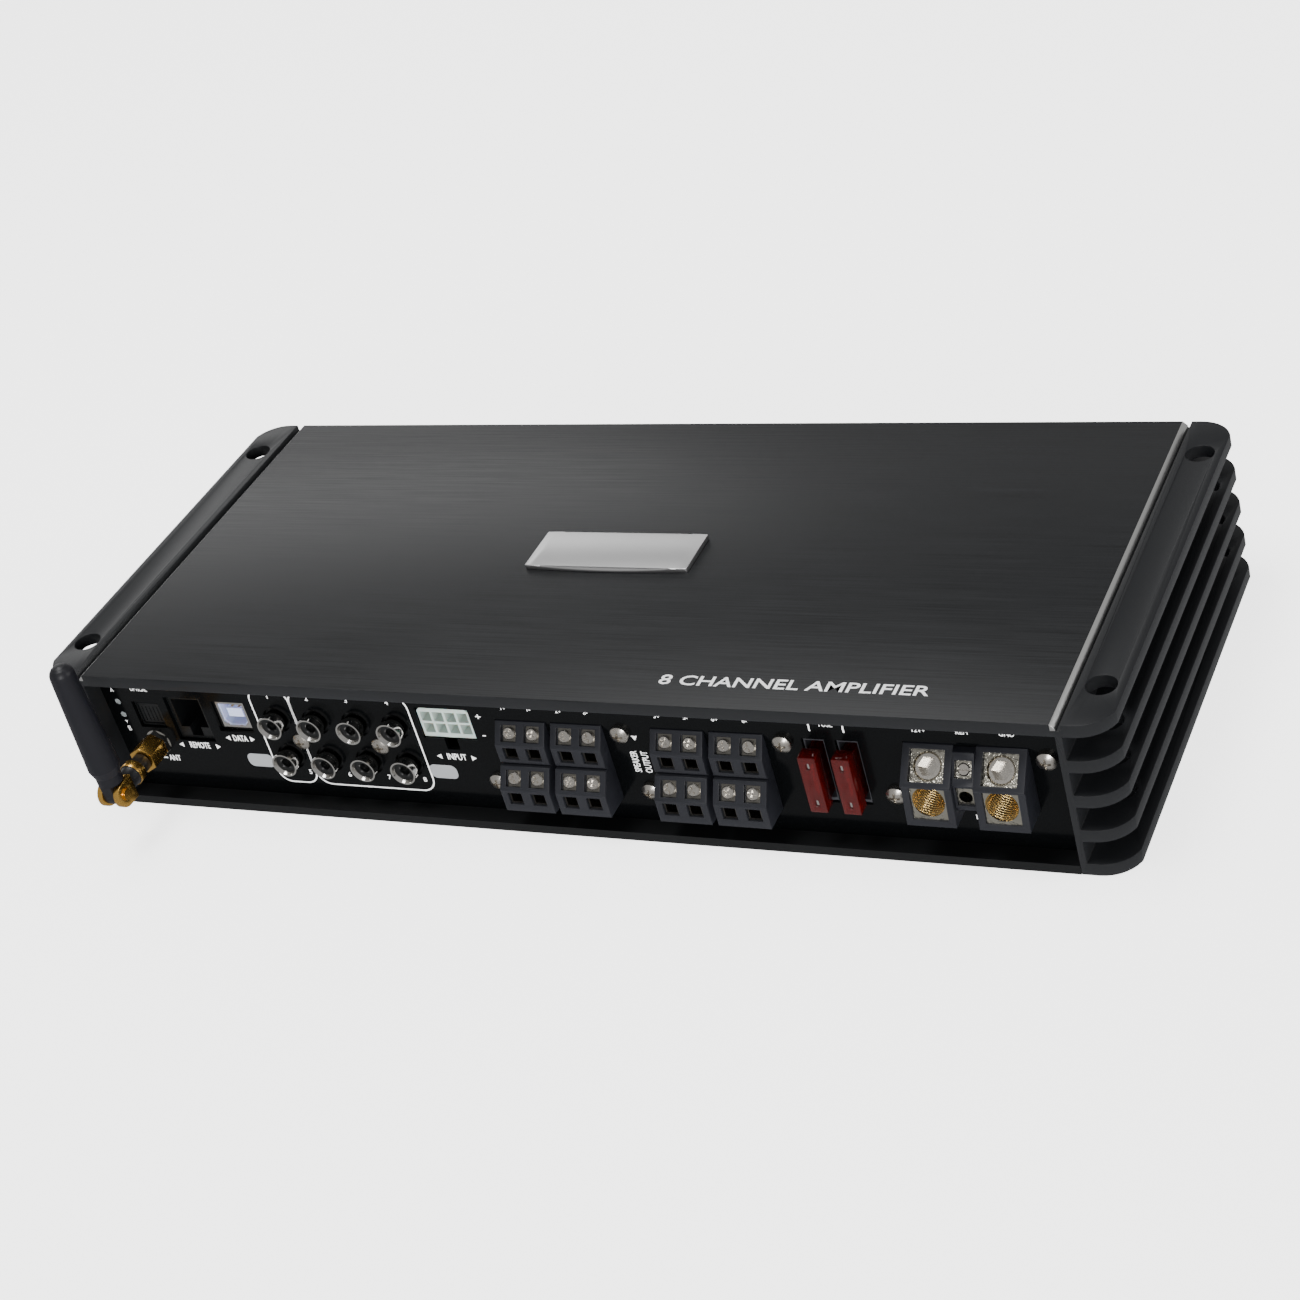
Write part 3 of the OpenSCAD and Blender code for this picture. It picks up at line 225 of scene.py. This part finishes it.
def makeHeatsinkMetal(finish):
    material, tree, shader = startMaterial("blackAnodisedAluminium", finish)
    parts = addGrain(tree, shader, finish)
    axes = addNode(tree, "ShaderNodeSeparateXYZ", {}, {"Vector": parts["place"]}).outputs
    side = addNode(tree, "ShaderNodeMath", {"operation": "ABSOLUTE"}, {0: axes[0]}).outputs[0]
    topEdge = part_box("heatsink")[1].z
    onTop = multiplied(tree, within(tree, side, -1, finish["brushReach"] * mm),
                       within(tree, axes[2], topEdge - finish["brushDepth"] * mm, 1))
    inner, outer = finish["bevel"]
    onBevel = multiplied(tree, within(tree, side, inner * mm, outer * mm),
                         within(tree, axes[2], topEdge - finish["bevelDepth"] * mm, 1))
    lines = addNode(tree, "ShaderNodeMapping",
                    {"Scale": (1 / (finish["brushLength"] * mm), 1 / (finish["brushPitch"] * mm), 1.0)},
                    {"Vector": parts["place"]}).outputs["Vector"]
    brush = addNode(tree, "ShaderNodeTexNoise", {"Scale": 1.0, "Detail": 4.0, "Roughness": 0.7},
                    {"Vector": lines}).outputs["Fac"]
    spread = addNode(tree, "ShaderNodeMapRange", {"From Min": 0.3, "From Max": 0.7},
                     {"Value": brush}).outputs[0]
    dark, light = finish["brushColours"]
    brushed = mixedColour(tree, spread, dark, light)
    shown = mixedColour(tree, onTop, parts["colour"], brushed)
    shown = mixedColour(tree, onBevel, shown, finish["bevelColour"])
    tree.links.new(shown, shader.inputs["Base Color"])
    tree.links.new(onBevel, shader.inputs["Metallic"])
    gloss = mixedValue(tree, onTop, parts["gloss"], mixedValue(tree, spread, *finish["brushGloss"]))
    tree.links.new(mixedValue(tree, onBevel, gloss, finish["bevelGloss"]), shader.inputs["Roughness"])
    height = mixedValue(tree, onTop, parts["grain"], brush)
    tree.links.new(height, parts["bump"].inputs["Height"])
    return material


heatsinkMetal = makeHeatsinkMetal(heatsinkFinish)

# Sheet steel with a smooth gloss black coat: deep black, faint orange peel
panelPaint = makeFinish("glossBlackEnamel", {
    "colour": "#060708", "roughness": 0.14, "spread": 0.03, "tone": 0.08, "grain": 1.6, "depth": 0.004,
    "sockets": {"Specular IOR Level": 0.16}})
# Sheet steel with a satin powder coat: fine even texture
satinPaint = makeFinish("blackPowderCoat", {
    "colour": "#0e0f10", "roughness": 0.5, "spread": 0.08, "tone": 0.08, "grain": 0.6, "depth": 0.02,
    "sockets": {"Specular IOR Level": 0.25}})
# Moulded nylon, dark grey: fine spark-eroded texture, satin
terminalNylon = makeFinish("greyNylon", {
    "colour": "#1b1c21", "roughness": 0.46, "spread": 0.08, "tone": 0.1, "grain": 0.3, "depth": 0.008,
    "sockets": {"Specular IOR Level": 0.32}})
# Moulded frame of the fuse holder: the same family of plastic, a paler batch that has not been polished
holderNylon = makeFinish("paleGreyNylon", {
    "colour": "#35363b", "roughness": 0.55, "spread": 0.08, "tone": 0.1, "grain": 0.3, "depth": 0.01,
    "sockets": {"Specular IOR Level": 0.4}})
# Moulded black ABS: a little smoother and darker
blackAbs = makeFinish("blackAbs", {
    "colour": "#0e0f10", "roughness": 0.34, "spread": 0.06, "tone": 0.1, "grain": 0.4, "depth": 0.006,
    "sockets": {"Specular IOR Level": 0.35}})
# Zinc-plated steel screws: bright, slightly warm, faint turning marks
zincSteel = makeFinish("zincPlatedSteel", {
    "colour": "#cfcac2", "metallic": 1.0, "roughness": 0.27, "spread": 0.1, "tone": 0.08, "grain": 0.35,
    "depth": 0.01})
# Polished nickel plate on brass: mirror bright with faint haze
nickelPlate = makeFinish("nickelPlate", {
    "colour": "#d6d4d0", "metallic": 1.0, "roughness": 0.14, "spread": 0.05, "tone": 0.05, "grain": 0.5,
    "depth": 0.003})
# Nickel plate on the small terminal cages: a darker, greyer copy of the plate as painted shade of the
# wells they sit in, and hazier
wellShadedNickel = makeFinish("wellShadedNickelPlate", {
    "colour": "#7b7872", "metallic": 1.0, "roughness": 0.3, "spread": 0.1, "tone": 0.12, "grain": 0.7,
    "depth": 0.05})
# Gold flash on brass: deep yellow, soft mirror
goldPlate = makeFinish("goldPlatedBrass", {
    "colour": "#efbd63", "metallic": 1.0, "roughness": 0.26, "spread": 0.06, "tone": 0.1, "grain": 0.5,
    "depth": 0.004})
# Matt black coat on screws of the rear panel
blackOxide = makeFinish("blackOxideSteel", {
    "colour": "#202123", "metallic": 1.0, "roughness": 0.45, "spread": 0.1, "tone": 0.1, "grain": 0.3,
    "depth": 0.008})
# Unfilled nylon of the input connector: pale grey-green, slightly waxy
paleNylon = makeFinish("paleNylon", {
    "colour": "#a9b7b1", "roughness": 0.42, "spread": 0.06, "tone": 0.08, "grain": 0.4, "depth": 0.006,
    "sockets": {"Subsurface Weight": 0.15, "Subsurface Scale": 0.001}})
# White insert of the data port: bluish white, waxy
whiteInsert = makeFinish("bluishWhiteNylon", {
    "colour": "#c3cbea", "roughness": 0.35, "spread": 0.05, "tone": 0.05, "grain": 0.4, "depth": 0.004,
    "sockets": {"Subsurface Weight": 0.2, "Subsurface Scale": 0.001}})
# Clear red polycarbonate of the fuses: dark where thick, bright at thin edges
redPolycarbonate = makeFinish("redPolycarbonate", {
    "colour": "#560b0a", "roughness": 0.12, "spread": 0.05, "tone": 0.25, "grain": 0.9, "depth": 0.03,
    "mottle": 4, "sockets": {"Transmission Weight": 0.55, "IOR": 1.58}})
# Soft moulded sleeve of the antenna: black with a faint blue cast, satin
sleeveRubber = makeFinish("blackElastomer", {
    "colour": "#101015", "roughness": 0.44, "spread": 0.07, "tone": 0.08, "grain": 0.35, "depth": 0.01,
    "sockets": {"Specular IOR Level": 0.35}})
# Clear epoxy lens of the status lamps
lampEpoxy = makeFinish("clearEpoxy", {
    "colour": "#c8d0d2", "roughness": 0.12, "spread": 0.03, "tone": 0.05, "grain": 0.6, "depth": 0.002,
    "sockets": {"Transmission Weight": 0.6}})
# Glass-fibre board under green solder resist: the weave just shows
boardResist = makeFinish("greenSolderResist", {
    "colour": "#1d4a31", "roughness": 0.32, "spread": 0.06, "tone": 0.12, "grain": 0.5, "depth": 0.01})
# Ferrite ring under a powder coat: dull grey-green with a slight grain
ferrite = makeFinish("coatedFerrite", {
    "colour": "#55604a", "roughness": 0.5, "spread": 0.1, "tone": 0.1, "grain": 0.5, "depth": 0.02})
# Shrunk plastic sleeve of the capacitors: dark, smooth and even
capacitorSleeve = makeFinish("shrinkSleeve", {
    "colour": "#24272d", "roughness": 0.3, "spread": 0.05, "tone": 0.06, "grain": 0.8, "depth": 0.005})
# Bare rolled steel of the clamp bars: greyer and hazier than the plated screws
plainSteel = makeFinish("plainSteel", {
    "colour": "#a9a9a8", "metallic": 1.0, "roughness": 0.38, "spread": 0.08, "tone": 0.08, "grain": 0.4,
    "depth": 0.01})
# Enamelled copper wire: the turns show as ribs about 1 mm apart
copperWire = makeFinish("enamelledCopper", {
    "colour": "#9a4f22", "metallic": 0.7, "roughness": 0.3, "spread": 0.06, "tone": 0.12, "grain": 1.0,
    "depth": 0.2, "stretch": (1, 1, 0.1)})
# White screen ink, slightly worn
printInk = makeFinish("whiteInk", {
    "colour": "#ffffff", "roughness": 0.55, "spread": 0.05, "tone": 0.05, "grain": 0.25,
    "depth": 0.003})
# The same ink in grey, of the two blank pills beside the frames
greyInk = makeFinish("greyInk", {
    "colour": "#8f9295", "roughness": 0.55, "spread": 0.05, "tone": 0.05, "grain": 0.25,
    "depth": 0.003})
# Name plate: die-cast and satin chromed, fine blast on its face, bright at the rim
plateMetal = makeFinish("satinChrome", {
    "colour": "#c4c4c4", "metallic": 1.0, "roughness": 0.36, "spread": 0.07, "tone": 0.05, "grain": 0.3,
    "depth": 0.006})

clampFinish = {
    "colour": "#bdb9ad", "metallic": 1.0, "roughness": 0.2, "spread": 0.1, "tone": 0.2, "grain": 1.3,
    "mottle": 5, "depth": 0.45, "boreColour": "#d9bb7e", "boreRadius": 4.68, "ribs": 0.9,
    "wireHeight": 23.4, "wirePlaces": (118.05, 138.6), "faceProud": 7.8,
}


# Plated clamps: crinkled bright plate outside, turned brass rings inside the wire hole
def makeClampMetal(finish):
    material, tree, shader = startMaterial("platedBrassClamp", finish)
    parts = addGrain(tree, shader, finish)
    axes = addNode(tree, "ShaderNodeSeparateXYZ", {}, {"Vector": parts["place"]}).outputs
    rise = addNode(tree, "ShaderNodeMath", {"operation": "SUBTRACT", 1: finish["wireHeight"] * mm},
                   {0: axes[2]}).outputs[0]
    bores = []
    for wirePlace in finish["wirePlaces"]:
        across = addNode(tree, "ShaderNodeMath", {"operation": "SUBTRACT", 1: wirePlace * mm},
                         {0: axes[0]}).outputs[0]
        offset = addNode(tree, "ShaderNodeCombineXYZ", {}, {"X": across, "Y": rise}).outputs[0]
        reach = addNode(tree, "ShaderNodeVectorMath", {"operation": "LENGTH"}, {0: offset})
        bores.append(within(tree, reach.outputs["Value"], -1, finish["boreRadius"] * mm))
    behindFace = within(tree, axes[1], panelFace - finish["faceProud"] * mm, 1)
    inBore = multiplied(tree, either(tree, *bores), behindFace)
    shown = mixedColour(tree, inBore, parts["colour"], finish["boreColour"])
    tree.links.new(shown, shader.inputs["Base Color"])
    ring = addNode(tree, "ShaderNodeMath",
                   {"operation": "MULTIPLY", 1: 2 * math.pi / (finish["ribs"] * mm)},
                   {0: axes[1]}).outputs[0]
    wave = addNode(tree, "ShaderNodeMath", {"operation": "SINE"}, {0: ring}).outputs[0]
    tree.links.new(mixedValue(tree, inBore, parts["grain"], wave), parts["bump"].inputs["Height"])
    return material


clampMetal = makeClampMetal(clampFinish)

# Antenna barrel: gold-flashed brass, with two bands painted near-black and non-metallic as painted
# shade and painted dark reflection on the gold. The bands are given in mm out from the panel face.
barrelFinish = {
    "colour": "#efbd63", "metallic": 1.0, "roughness": 0.26, "spread": 0.06, "tone": 0.1, "grain": 0.5,
    "depth": 0.004, "sleeveColour": "#151517", "sleeveGloss": 0.4,
    "shadeBandNear": (10.2, 14.5), "sleeve": (17.4, 21.6),
}


def makeBarrelMetal(finish):
    material, tree, shader = startMaterial("brassWithPaintedShadeBands", finish)
    parts = addGrain(tree, shader, finish)
    axes = addNode(tree, "ShaderNodeSeparateXYZ", {}, {"Vector": parts["place"]}).outputs
    # painted shade and painted dark reflection: the two bands of the gold barrel are drawn near-black
    # and non-metallic
    bands = [within(tree, axes[1], panelFace - far * mm, panelFace - near * mm)
             for near, far in (finish["shadeBandNear"], finish["sleeve"])]
    dark = either(tree, *bands)
    shown = mixedColour(tree, dark, parts["colour"], finish["sleeveColour"])
    tree.links.new(shown, shader.inputs["Base Color"])
    tree.links.new(mixedValue(tree, dark, 1.0, 0.0), shader.inputs["Metallic"])
    tree.links.new(mixedValue(tree, dark, parts["gloss"], finish["sleeveGloss"]),
                   shader.inputs["Roughness"])
    return material


barrelMetal = makeBarrelMetal(barrelFinish)

# Matt white studio floor that glows a little, so that it stays pale under the soft light
floorPaint = makeFinish("paleFloor", {
    "colour": studio["floorColour"], "roughness": 0.8, "spread": 0.03, "tone": 0.01, "grain": 3,
    "depth": 0.001,
    "sockets": {"Emission Color": linearColour("#ffffff"), "Emission Strength": studio["floorGlow"]}})

finishOfNode = {
    heatsinkMetal: ["heatsink"],
    panelPaint: ["front_panel"],
    satinPaint: ["bottom_plate", "rear_panel"],
    plateMetal: ["badge"],
    zincSteel: ["bottom_screws", "front_panel_screws", "speaker_screws", "supply_screw", "ground_screw",
                "remote_screw", "board_screws"],
    blackOxide: ["rear_panel_screws"],
    blackAbs: ["rca_housings", "rca_insulators", "remote_jack", "optical_port", "optical_shutter",
               "processor_chips", "power_transistors"],
    nickelPlate: ["rca_shells", "rca_contacts", "usb_shell", "fuse_a_blades", "fuse_b_blades",
                  "antenna_jack"],
    clampMetal: ["power_clamps"],
    # the speaker cages take the darker nickel copy, painted shade of their wells
    wellShadedNickel: ["speaker_clamps"],
    paleNylon: ["input_header"],
    whiteInsert: ["usb_insert"],
    lampEpoxy: ["status_leds"],
    goldPlate: ["usb_contacts", "remote_contacts", "input_pins", "fuse_clips", "supply_pad",
                "ground_pad", "remote_pad", "antenna_nut", "antenna_pin", "board_standoffs"],
    barrelMetal: ["antenna_barrel"],
    terminalNylon: ["speaker_block_left", "speaker_block_right", "power_block"],
    holderNylon: ["fuse_holder"],
    redPolycarbonate: ["fuse_a_body", "fuse_b_body"],
    sleeveRubber: ["antenna_whip"],
    boardResist: ["main_board", "processor_board", "input_riser"],
    ferrite: ["transformer_core", "inductor_cores"],
    copperWire: ["transformer_winding", "inductor_windings"],
    capacitorSleeve: ["supply_capacitors"],
    plainSteel: ["transistor_clamps"],
}


def giveMaterial(piece, material):
    piece.data.materials.clear()
    piece.data.materials.append(material)


for material, names in finishOfNode.items():
    for name in names:
        giveMaterial(cad[name], material)
print("stage: materials on", sum(len(names) for names in finishOfNode.values()), "nodes")


def deselectAll():
    if bpy.context.object and bpy.context.object.mode != "OBJECT":
        bpy.ops.object.mode_set(mode="OBJECT")
    bpy.ops.object.select_all(action="DESELECT")


def makeActive(piece):
    deselectAll()
    piece.select_set(True)
    bpy.context.view_layer.objects.active = piece


def settle(piece, name, material, body="chassis", replaced=()):
    makeActive(piece)
    bpy.ops.object.transform_apply(location=True, rotation=True, scale=True)
    piece.name = name
    piece.data.name = name
    giveMaterial(piece, material)
    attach(piece, body)
    if replaced:
        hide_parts(*replaced)


# Edges sharper than sharpAngle are rounded, and shallower ones than smoothAngle are shaded smooth
softening = {"weld": 0.005, "sharpAngle": 32, "smoothAngle": 40, "segments": 2}


# A copy of a CAD node with its sharp edges rounded, as moulding and deburring leave them
def softenedCopy(nodeName, name, width, body):
    makeActive(cad[nodeName])
    bpy.ops.object.duplicate()
    piece = bpy.context.active_object
    for key in list(piece.keys()):
        if key.startswith("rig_"):
            del piece[key]
    world = piece.matrix_world.copy()
    piece.parent = None
    piece.matrix_world = world
    bpy.ops.mesh.customdata_custom_splitnormals_clear()
    bpy.ops.object.mode_set(mode="EDIT")
    bpy.ops.mesh.select_all(action="SELECT")
    bpy.ops.mesh.remove_doubles(threshold=softening["weld"] * mm)
    bpy.ops.object.mode_set(mode="OBJECT")
    rounding = piece.modifiers.new("rounding", "BEVEL")
    rounding.width = width * mm
    rounding.segments = softening["segments"]
    rounding.limit_method = "ANGLE"
    rounding.angle_limit = math.radians(softening["sharpAngle"])
    rounding.use_clamp_overlap = False
    rounding.miter_outer = "MITER_ARC"
    bpy.ops.object.modifier_apply(modifier="rounding")
    bpy.ops.object.shade_smooth_by_angle(angle=math.radians(softening["smoothAngle"]))
    settle(piece, name, cad[nodeName].data.materials[0], body, (nodeName,))


softened = [
    # node, piece, edge rounding in mm, body, slot
    ("heatsink", "heatsinkCasting", 0.18, "chassis", "black_anodised"),
    ("badge", "namePlate", 0.3, "chassis", "satin_silver"),
    ("speaker_block_left", "speakerBlockLeft", 0.14, "chassis", "grey_plastic"),
    ("speaker_block_right", "speakerBlockRight", 0.14, "chassis", "grey_plastic"),
    ("power_block", "powerBlock", 0.16, "chassis", "grey_plastic"),
    ("input_header", "inputHeader", 0.14, "chassis", "pale_plastic"),
    ("fuse_holder", "fuseHolder", 0.14, "chassis", "grey_plastic"),
    ("antenna_nut", "antennaNut", 0.16, "antenna_nut", "gold_plate"),
    ("antenna_barrel", "antennaBarrel", 0.14, "antenna_swivel", "gold_plate"),
    ("fuse_a_body", "fuseBodyA", 0.3, "fuse_a", "red_plastic"),
    ("fuse_b_body", "fuseBodyB", 0.3, "fuse_b", "red_plastic"),
]
for nodeName, name, width, body, slot in softened:
    softenedCopy(nodeName, name, width, body)
print("stage: edges rounded")


# Screen printing: raised just enough to lie on the paint, with strokes fattened as ink spreads
inkDepth = 0.06 * mm
lettersDrawn = {"capHeight": 0.70, "inkSpread": 0.04 / 2.4, "curveSteps": 3}


# Lettering lies on a face: "panel" reads along +X on the connector panel, "top" on the top plate
def addLettering(words, place, height, face="panel", width=1.0, turn=0.0):
    deselectAll()
    bpy.ops.object.text_add(location=(0, 0, 0))
    lettering = bpy.context.active_object
    lettering.data.body = words
    lettering.data.align_x = "CENTER"
    lettering.data.align_y = "CENTER"
    lettering.data.size = height * mm / lettersDrawn["capHeight"]
    lettering.data.offset = lettersDrawn["inkSpread"] * height * mm
    lettering.data.extrude = inkDepth / 2
    lettering.data.resolution_u = lettersDrawn["curveSteps"]
    bpy.ops.object.convert(target="MESH")
    lettering = bpy.context.active_object
    lettering.scale = (width, 1, 1)
    if face == "panel":
        lettering.rotation_euler = (math.radians(90), math.radians(-turn), 0)
    lettering.location = place
    bpy.ops.object.transform_apply(location=True, rotation=True, scale=True)
    return lettering


def onPanel(x, z):
    return (x * mm, panelFace - inkDepth / 2, z * mm)


def joined(pieces):
    deselectAll()
    for piece in pieces:
        piece.select_set(True)
    bpy.context.view_layer.objects.active = pieces[0]
    bpy.ops.object.join()
    return bpy.context.active_object


# Thin printed shape on the panel: a rounded rectangle, filled or as a line of the given width
def addRoundedMark(x0, x1, z0, z1, radius, line=None):
    deselectAll()
    bpy.ops.mesh.primitive_plane_add(size=1, location=(0, 0, 0))
    mark = bpy.context.active_object
    mark.scale = ((x1 - x0) * mm, (z1 - z0) * mm, 1)
    bpy.ops.object.transform_apply(location=False, rotation=False, scale=True)
    bpy.ops.object.mode_set(mode="EDIT")
    bpy.ops.mesh.select_all(action="SELECT")
    bpy.ops.mesh.bevel(offset=radius * mm, segments=8, affect="VERTICES")
    if line:
        bpy.ops.mesh.select_all(action="SELECT")
        bpy.ops.mesh.inset(thickness=line * mm, depth=0)
        bpy.ops.mesh.delete(type="FACE")
    bpy.ops.mesh.select_all(action="SELECT")
    bpy.ops.mesh.extrude_region_move(TRANSFORM_OT_translate={"value": (0, 0, inkDepth)})
    bpy.ops.mesh.select_all(action="SELECT")
    bpy.ops.mesh.normals_make_consistent(inside=False)
    bpy.ops.object.mode_set(mode="OBJECT")
    mark.rotation_euler = (math.radians(90), 0, 0)
    mark.location = ((x0 + x1) / 2 * mm, panelFace, (z0 + z1) / 2 * mm)
    bpy.ops.object.transform_apply(location=True, rotation=True, scale=True)
    return mark


def addArrowMark(x, z, size, turn):
    deselectAll()
    bpy.ops.mesh.primitive_cylinder_add(vertices=3, radius=size * mm, depth=inkDepth,
                                        location=(0, 0, 0), rotation=(math.radians(90), 0, 0))
    mark = bpy.context.active_object
    bpy.ops.object.transform_apply(location=True, rotation=True, scale=True)
    mark.rotation_euler = (0, math.radians(turn), 0)
    mark.location = onPanel(x, z)
    bpy.ops.object.transform_apply(location=True, rotation=True, scale=True)
    return mark


panelWords = [
    # words, x, z, letter height, width factor, turn
    ("1", -93, 41.2, 1.7, 1.0, 0), ("2", -78.9, 41.2, 1.7, 1.0, 0),
    ("3", -64.7, 41.2, 1.7, 1.0, 0), ("4", -50.5, 41.2, 1.7, 1.0, 0),
    ("5", -87.9, 12.4, 1.7, 1.0, 0), ("6", -73.6, 12.4, 1.7, 1.0, 0),
    ("7", -59.4, 12.4, 1.7, 1.0, 0), ("8", -46.8, 12.4, 1.7, 1.0, 0),
    ("+", -20.3, 37.7, 2.2, 1.1, 0), ("-", -20.4, 31.1, 2.2, 1.3, 0),
    ("INPUT", -32.6, 22.0, 2.3, 0.72, 0),
    ("REMOTE", -126.4, 20.2, 2.3, 0.62, 0),
    ("DATA", -109.6, 24.0, 2.3, 0.62, 0),
    ("OPTICAL", -141.3, 41.4, 1.6, 0.7, 0),
    ("A", -151.8, 40.6, 1.5, 0.9, 0), ("B", -151.3, 25.5, 1.9, 0.9, 0),
    ("ANT", -138.4, 14.4, 2.2, 0.68, 0),
    ("1+", -11.0, 41.5, 1.5, 0.9, 0), ("1-", -2.6, 41.5, 1.5, 0.9, 0),
    ("2+", 7.2, 41.5, 1.5, 0.9, 0), ("2-", 15.9, 41.5, 1.5, 0.9, 0),
    ("5+", 38.5, 41.5, 1.5, 0.9, 0), ("5-", 47.4, 41.5, 1.5, 0.9, 0),
    ("6+", 56.4, 41.5, 1.5, 0.9, 0), ("6-", 65.4, 41.5, 1.5, 0.9, 0),
    ("SPEAKER", 27.6, 24.6, 2.1, 0.66, 90), ("OUTPUT", 31.0, 24.6, 2.1, 0.66, 90),
    ("FUSE", 89.4, 41.6, 1.5, 0.9, 0),
    ("12V+", 116.0, 41.5, 1.6, 0.85, 0), ("REM", 128.2, 41.5, 1.6, 0.85, 0),
    ("GND", 140.6, 41.6, 1.6, 0.85, 0),
    ("12V", 128.3, 12.4, 1.6, 0.85, 0),
]
panelLines = [
    # x0, x1, z0, z1, corner radius, line width
    (-100.3, -85.7, 7.9, 44.0, 4.6, 0.5), (-86.0, -43.6, 7.9, 44.0, 5.0, 0.5),
]
panelBars = [
    # x0, x1, z0, z1, corner radius: three white strokes, then two grey pills
    (-145.4, -141.2, 14.15, 14.65, 0.1), (84.1, 84.6, 39.2, 42.0, 0.1), (94.1, 94.6, 39.2, 42.0, 0.1),
    (-109.8, -100.2, 13.3, 18.3, 2.0), (-43.7, -34.3, 13.5, 18.6, 2.0),
]
panelArrows = [
    # x, z, size, turn
    (-38.3, 22.0, 1.1, -90), (-26.9, 22.0, 1.1, 90), (-133.2, 20.2, 1.1, -90),
    (-119.6, 20.2, 1.1, 90), (-113.9, 24.0, 1.1, -90), (-105.3, 24.0, 1.1, 90),
    (29.3, 33.4, 1.1, 180), (29.3, 16.0, 1.1, 0),
    (-151.3, 28.4, 0.7, 180),
]

white = [addLettering(words, onPanel(x, z), height, width=width, turn=turn)
         for words, x, z, height, width, turn in panelWords]
white += [addRoundedMark(*line) for line in panelLines]
white += [addRoundedMark(*bar) for bar in panelBars[:3]]
white += [addArrowMark(*arrow) for arrow in panelArrows]
settle(joined(white), "panelPrint", printInk)
pills = joined([addRoundedMark(*bar) for bar in panelBars[3:]])
settle(pills, "panelPills", greyInk)

# The rating stands just proud of the outer face of each fuse
ratingMark = {"words": "30", "height": 2.4, "proud": 0.04, "turn": 90}
for letter in ("a", "b"):
    low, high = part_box("fuse_%s_body" % letter)
    middle = (low + high) / 2
    place = (middle.x, low.y - ratingMark["proud"] * mm, middle.z)
    rating = addLettering(ratingMark["words"], place, ratingMark["height"], turn=ratingMark["turn"])
    settle(rating, "fuseRating" + letter.upper(), redPolycarbonate, "fuse_" + letter)

topWording = {"words": "8 CHANNEL AMPLIFIER", "x": 79.5, "y": -61.2, "height": 4.2, "width": 1.3}
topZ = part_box("heatsink")[1].z
topPlace = (topWording["x"] * mm, topWording["y"] * mm, topZ + inkDepth / 2)
topWords = addLettering(topWording["words"], topPlace, topWording["height"], "top", topWording["width"])
settle(topWords, "topPrint", printInk)
print("stage: printed marks")

deselectAll()
bpy.ops.mesh.primitive_plane_add(size=studio["floorSize"], location=(0, 0, -0.0001))
floor = bpy.context.active_object
floor.name = "studioFloor"
giveMaterial(floor, floorPaint)
floor.visible_glossy = False  # the dark gloss faces mirror the soft room light, not the bright floor
